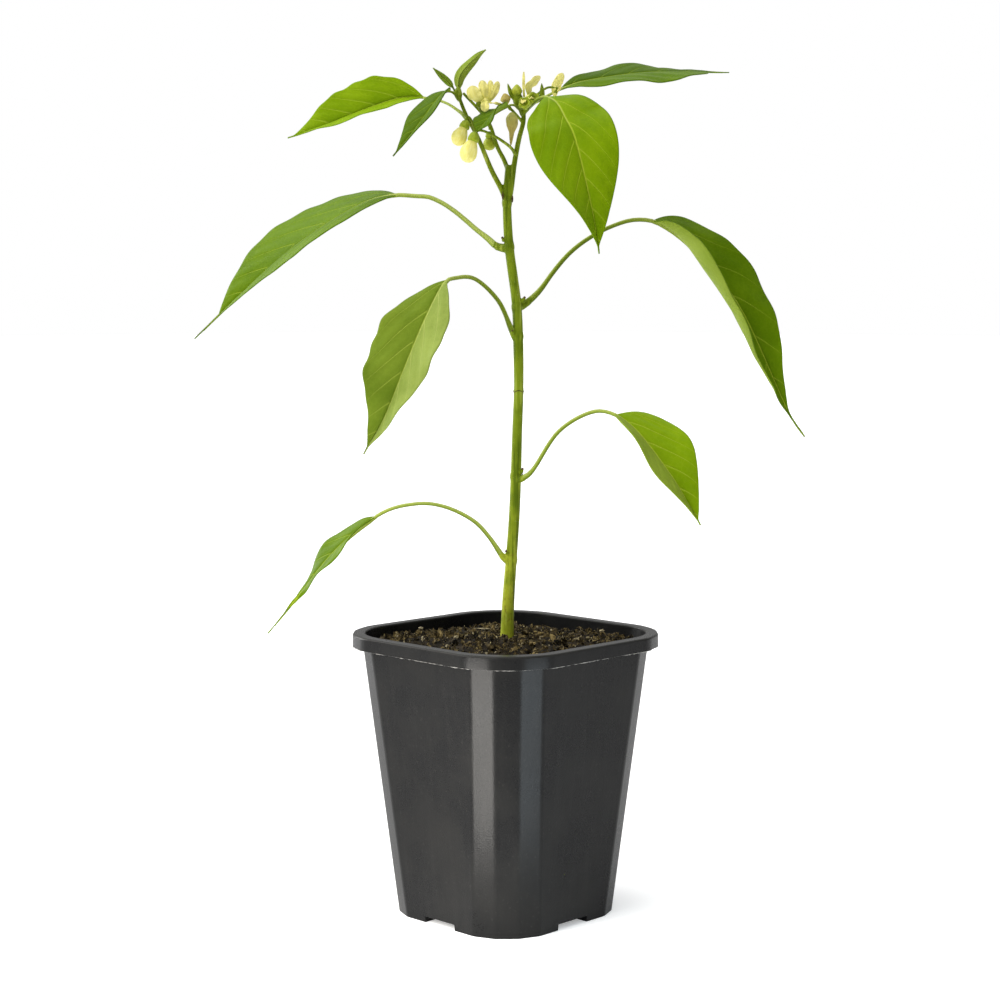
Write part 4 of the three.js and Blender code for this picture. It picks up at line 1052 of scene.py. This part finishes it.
def make_hairs():
    """Fine pale hairs standing on the stem, the young shoot and the calyces."""
    model = made(bpy.ops.mesh.primitive_cone_add, vertices=3, radius1=0.05, radius2=0, depth=1,
                 location=(0, 0, 0.5))
    places = []
    for name, lowest, count in HAIRY:
        able = [face for face in bpy.data.objects[name].data.polygons if face.center.z > lowest]
        if name == "calyces":  # its spheres come with their faces in another order each run
            able.sort(key=lambda face: tuple(face.center))
        for face in random.choices(able, weights=[face.area for face in able], k=count):
            lean = face.normal + Vector([random.uniform(-0.5, 0.5) for _ in range(3)])
            size = (0.5, 0.5, random.uniform(0.3, 0.8))
            places.append((face.center / MM, lean.to_track_quat("Z", "Y").to_euler(), size))
    scattered("plant_hairs", "hair", "green_stem", [model], places)


for make in (make_pot, make_flash, make_soil, make_crumbs, make_fibres, make_pale_bits, make_stem,
             make_scars):
    make()
for leaf_name, leaf_values in LEAVES.items():
    make_leaf(leaf_name, leaf_values)
make_flowers()
make_hairs()

# Floor, light and camera
floor = made(bpy.ops.mesh.primitive_plane_add, size=30, location=(0, 0, 0))
floor.name = "studio_floor"
paper = Finish("white_paper", Specular_IOR_Level=0.2, Roughness=0.9)
paper.shader.inputs["Emission Strength"].default_value = 1.0
paper.feed(paper.shader.inputs["Emission Color"], paper.mix(
    paper.add("ShaderNodeLightPath", output="Is Camera Ray"), (0.0, 0.0, 0.0), (0.32, 0.32, 0.32)))
paper.done(paper.mix(paper.noise(3), (0.86, 0.86, 0.86), (0.88, 0.88, 0.88)))
floor.data.materials.append(paper.material)


def toward_camera(right, away, up):
    """A place given as the camera sees it: right, away from it, and up, in metres."""
    c, s = cos(CAMERA_TURN), sin(CAMERA_TURN)
    return right * c - away * s, right * s + away * c, up


def aimed(name, lamp, way):
    holder = linked(name, lamp)
    holder.rotation_euler = way.to_track_quat("-Z", "Y").to_euler()
    return holder


def softbox(name, place, aim, power, width, height, colour=(1, 1, 1)):
    """A lit panel, with its place and aim as the camera sees them."""
    lamp = bpy.data.lights.new(name, "AREA")
    lamp.shape, lamp.size, lamp.size_y = "RECTANGLE", width, height
    lamp.energy, lamp.color = power, colour
    place = Vector(toward_camera(*place))
    holder = aimed(name, lamp, Vector(toward_camera(*aim)) - place)
    holder.location = place
    holder.visible_camera = False


softbox("box_left", (-1.2, -0.5, 0.95), (0, 0, 0.2), 4.9, 0.9, 1.0, (1, 0.99, 0.96))
softbox("box_behind", (-1.2, 0.8, 0.6), (0, 0, 0.25), 11.8, 0.8, 0.8)
softbox("low_left", (-0.066, -0.112, 0.035), (-0.009, -0.057, 0.035), 0.3, 0.036, 0.15, (1, 0.97, 0.92))
softbox("low_right", (0.066, -0.112, 0.035), (0.009, -0.057, 0.035), 0.1, 0.036, 0.15, (0.8, 0.92, 1))
sun = bpy.data.lights.new("overhead", "SUN")
sun.energy, sun.angle = 2.3, radians(70)
aimed("overhead", sun, -Vector(toward_camera(-0.6, -0.2, 1)))


class Studio(Finish):
    """The white room round the object: bright overhead and behind, dim in front."""

    def __init__(self, name):
        world = bpy.data.worlds.new(name)
        world.use_nodes = True
        bpy.context.scene.world = world
        self.tree = world.node_tree
        self.backdrop = self.tree.nodes["Background"]
        self.place = self.add("ShaderNodeTexCoord", output="Generated")

    def lit(self, dim, behind, above):
        away = self.add("ShaderNodeVectorMath", {0: self.place, 1: toward_camera(0, 1, 0)}, "Value",
                        operation="DOT_PRODUCT")
        glow = self.ease(away, 0.15, 0.9) * behind + self.ease(self.height(), 0.15, 0.85) * above + dim
        seen = self.add("ShaderNodeLightPath", output="Is Camera Ray")
        grey = self.add("ShaderNodeCombineColor", {0: glow, 1: glow, 2: glow})
        self.feed(self.backdrop.inputs["Color"], self.mix(seen, grey, (1.0, 1.0, 1.0)))


Studio("studio").lit(0.12, 0.33, 0.66)

camera = bpy.data.cameras.new("camera")
camera.sensor_width = 36
camera.lens = 18 / tan(radians(26.95 / 2))
camera.shift_x = -0.00547
eye = linked("camera", camera)
eye.location = (0.6192, -0.6332, 0.2598)
eye.rotation_euler = (radians(90 - 5.3), 0, CAMERA_TURN)
bpy.context.scene.camera = eye
bpy.context.scene.view_settings.view_transform = "Standard"
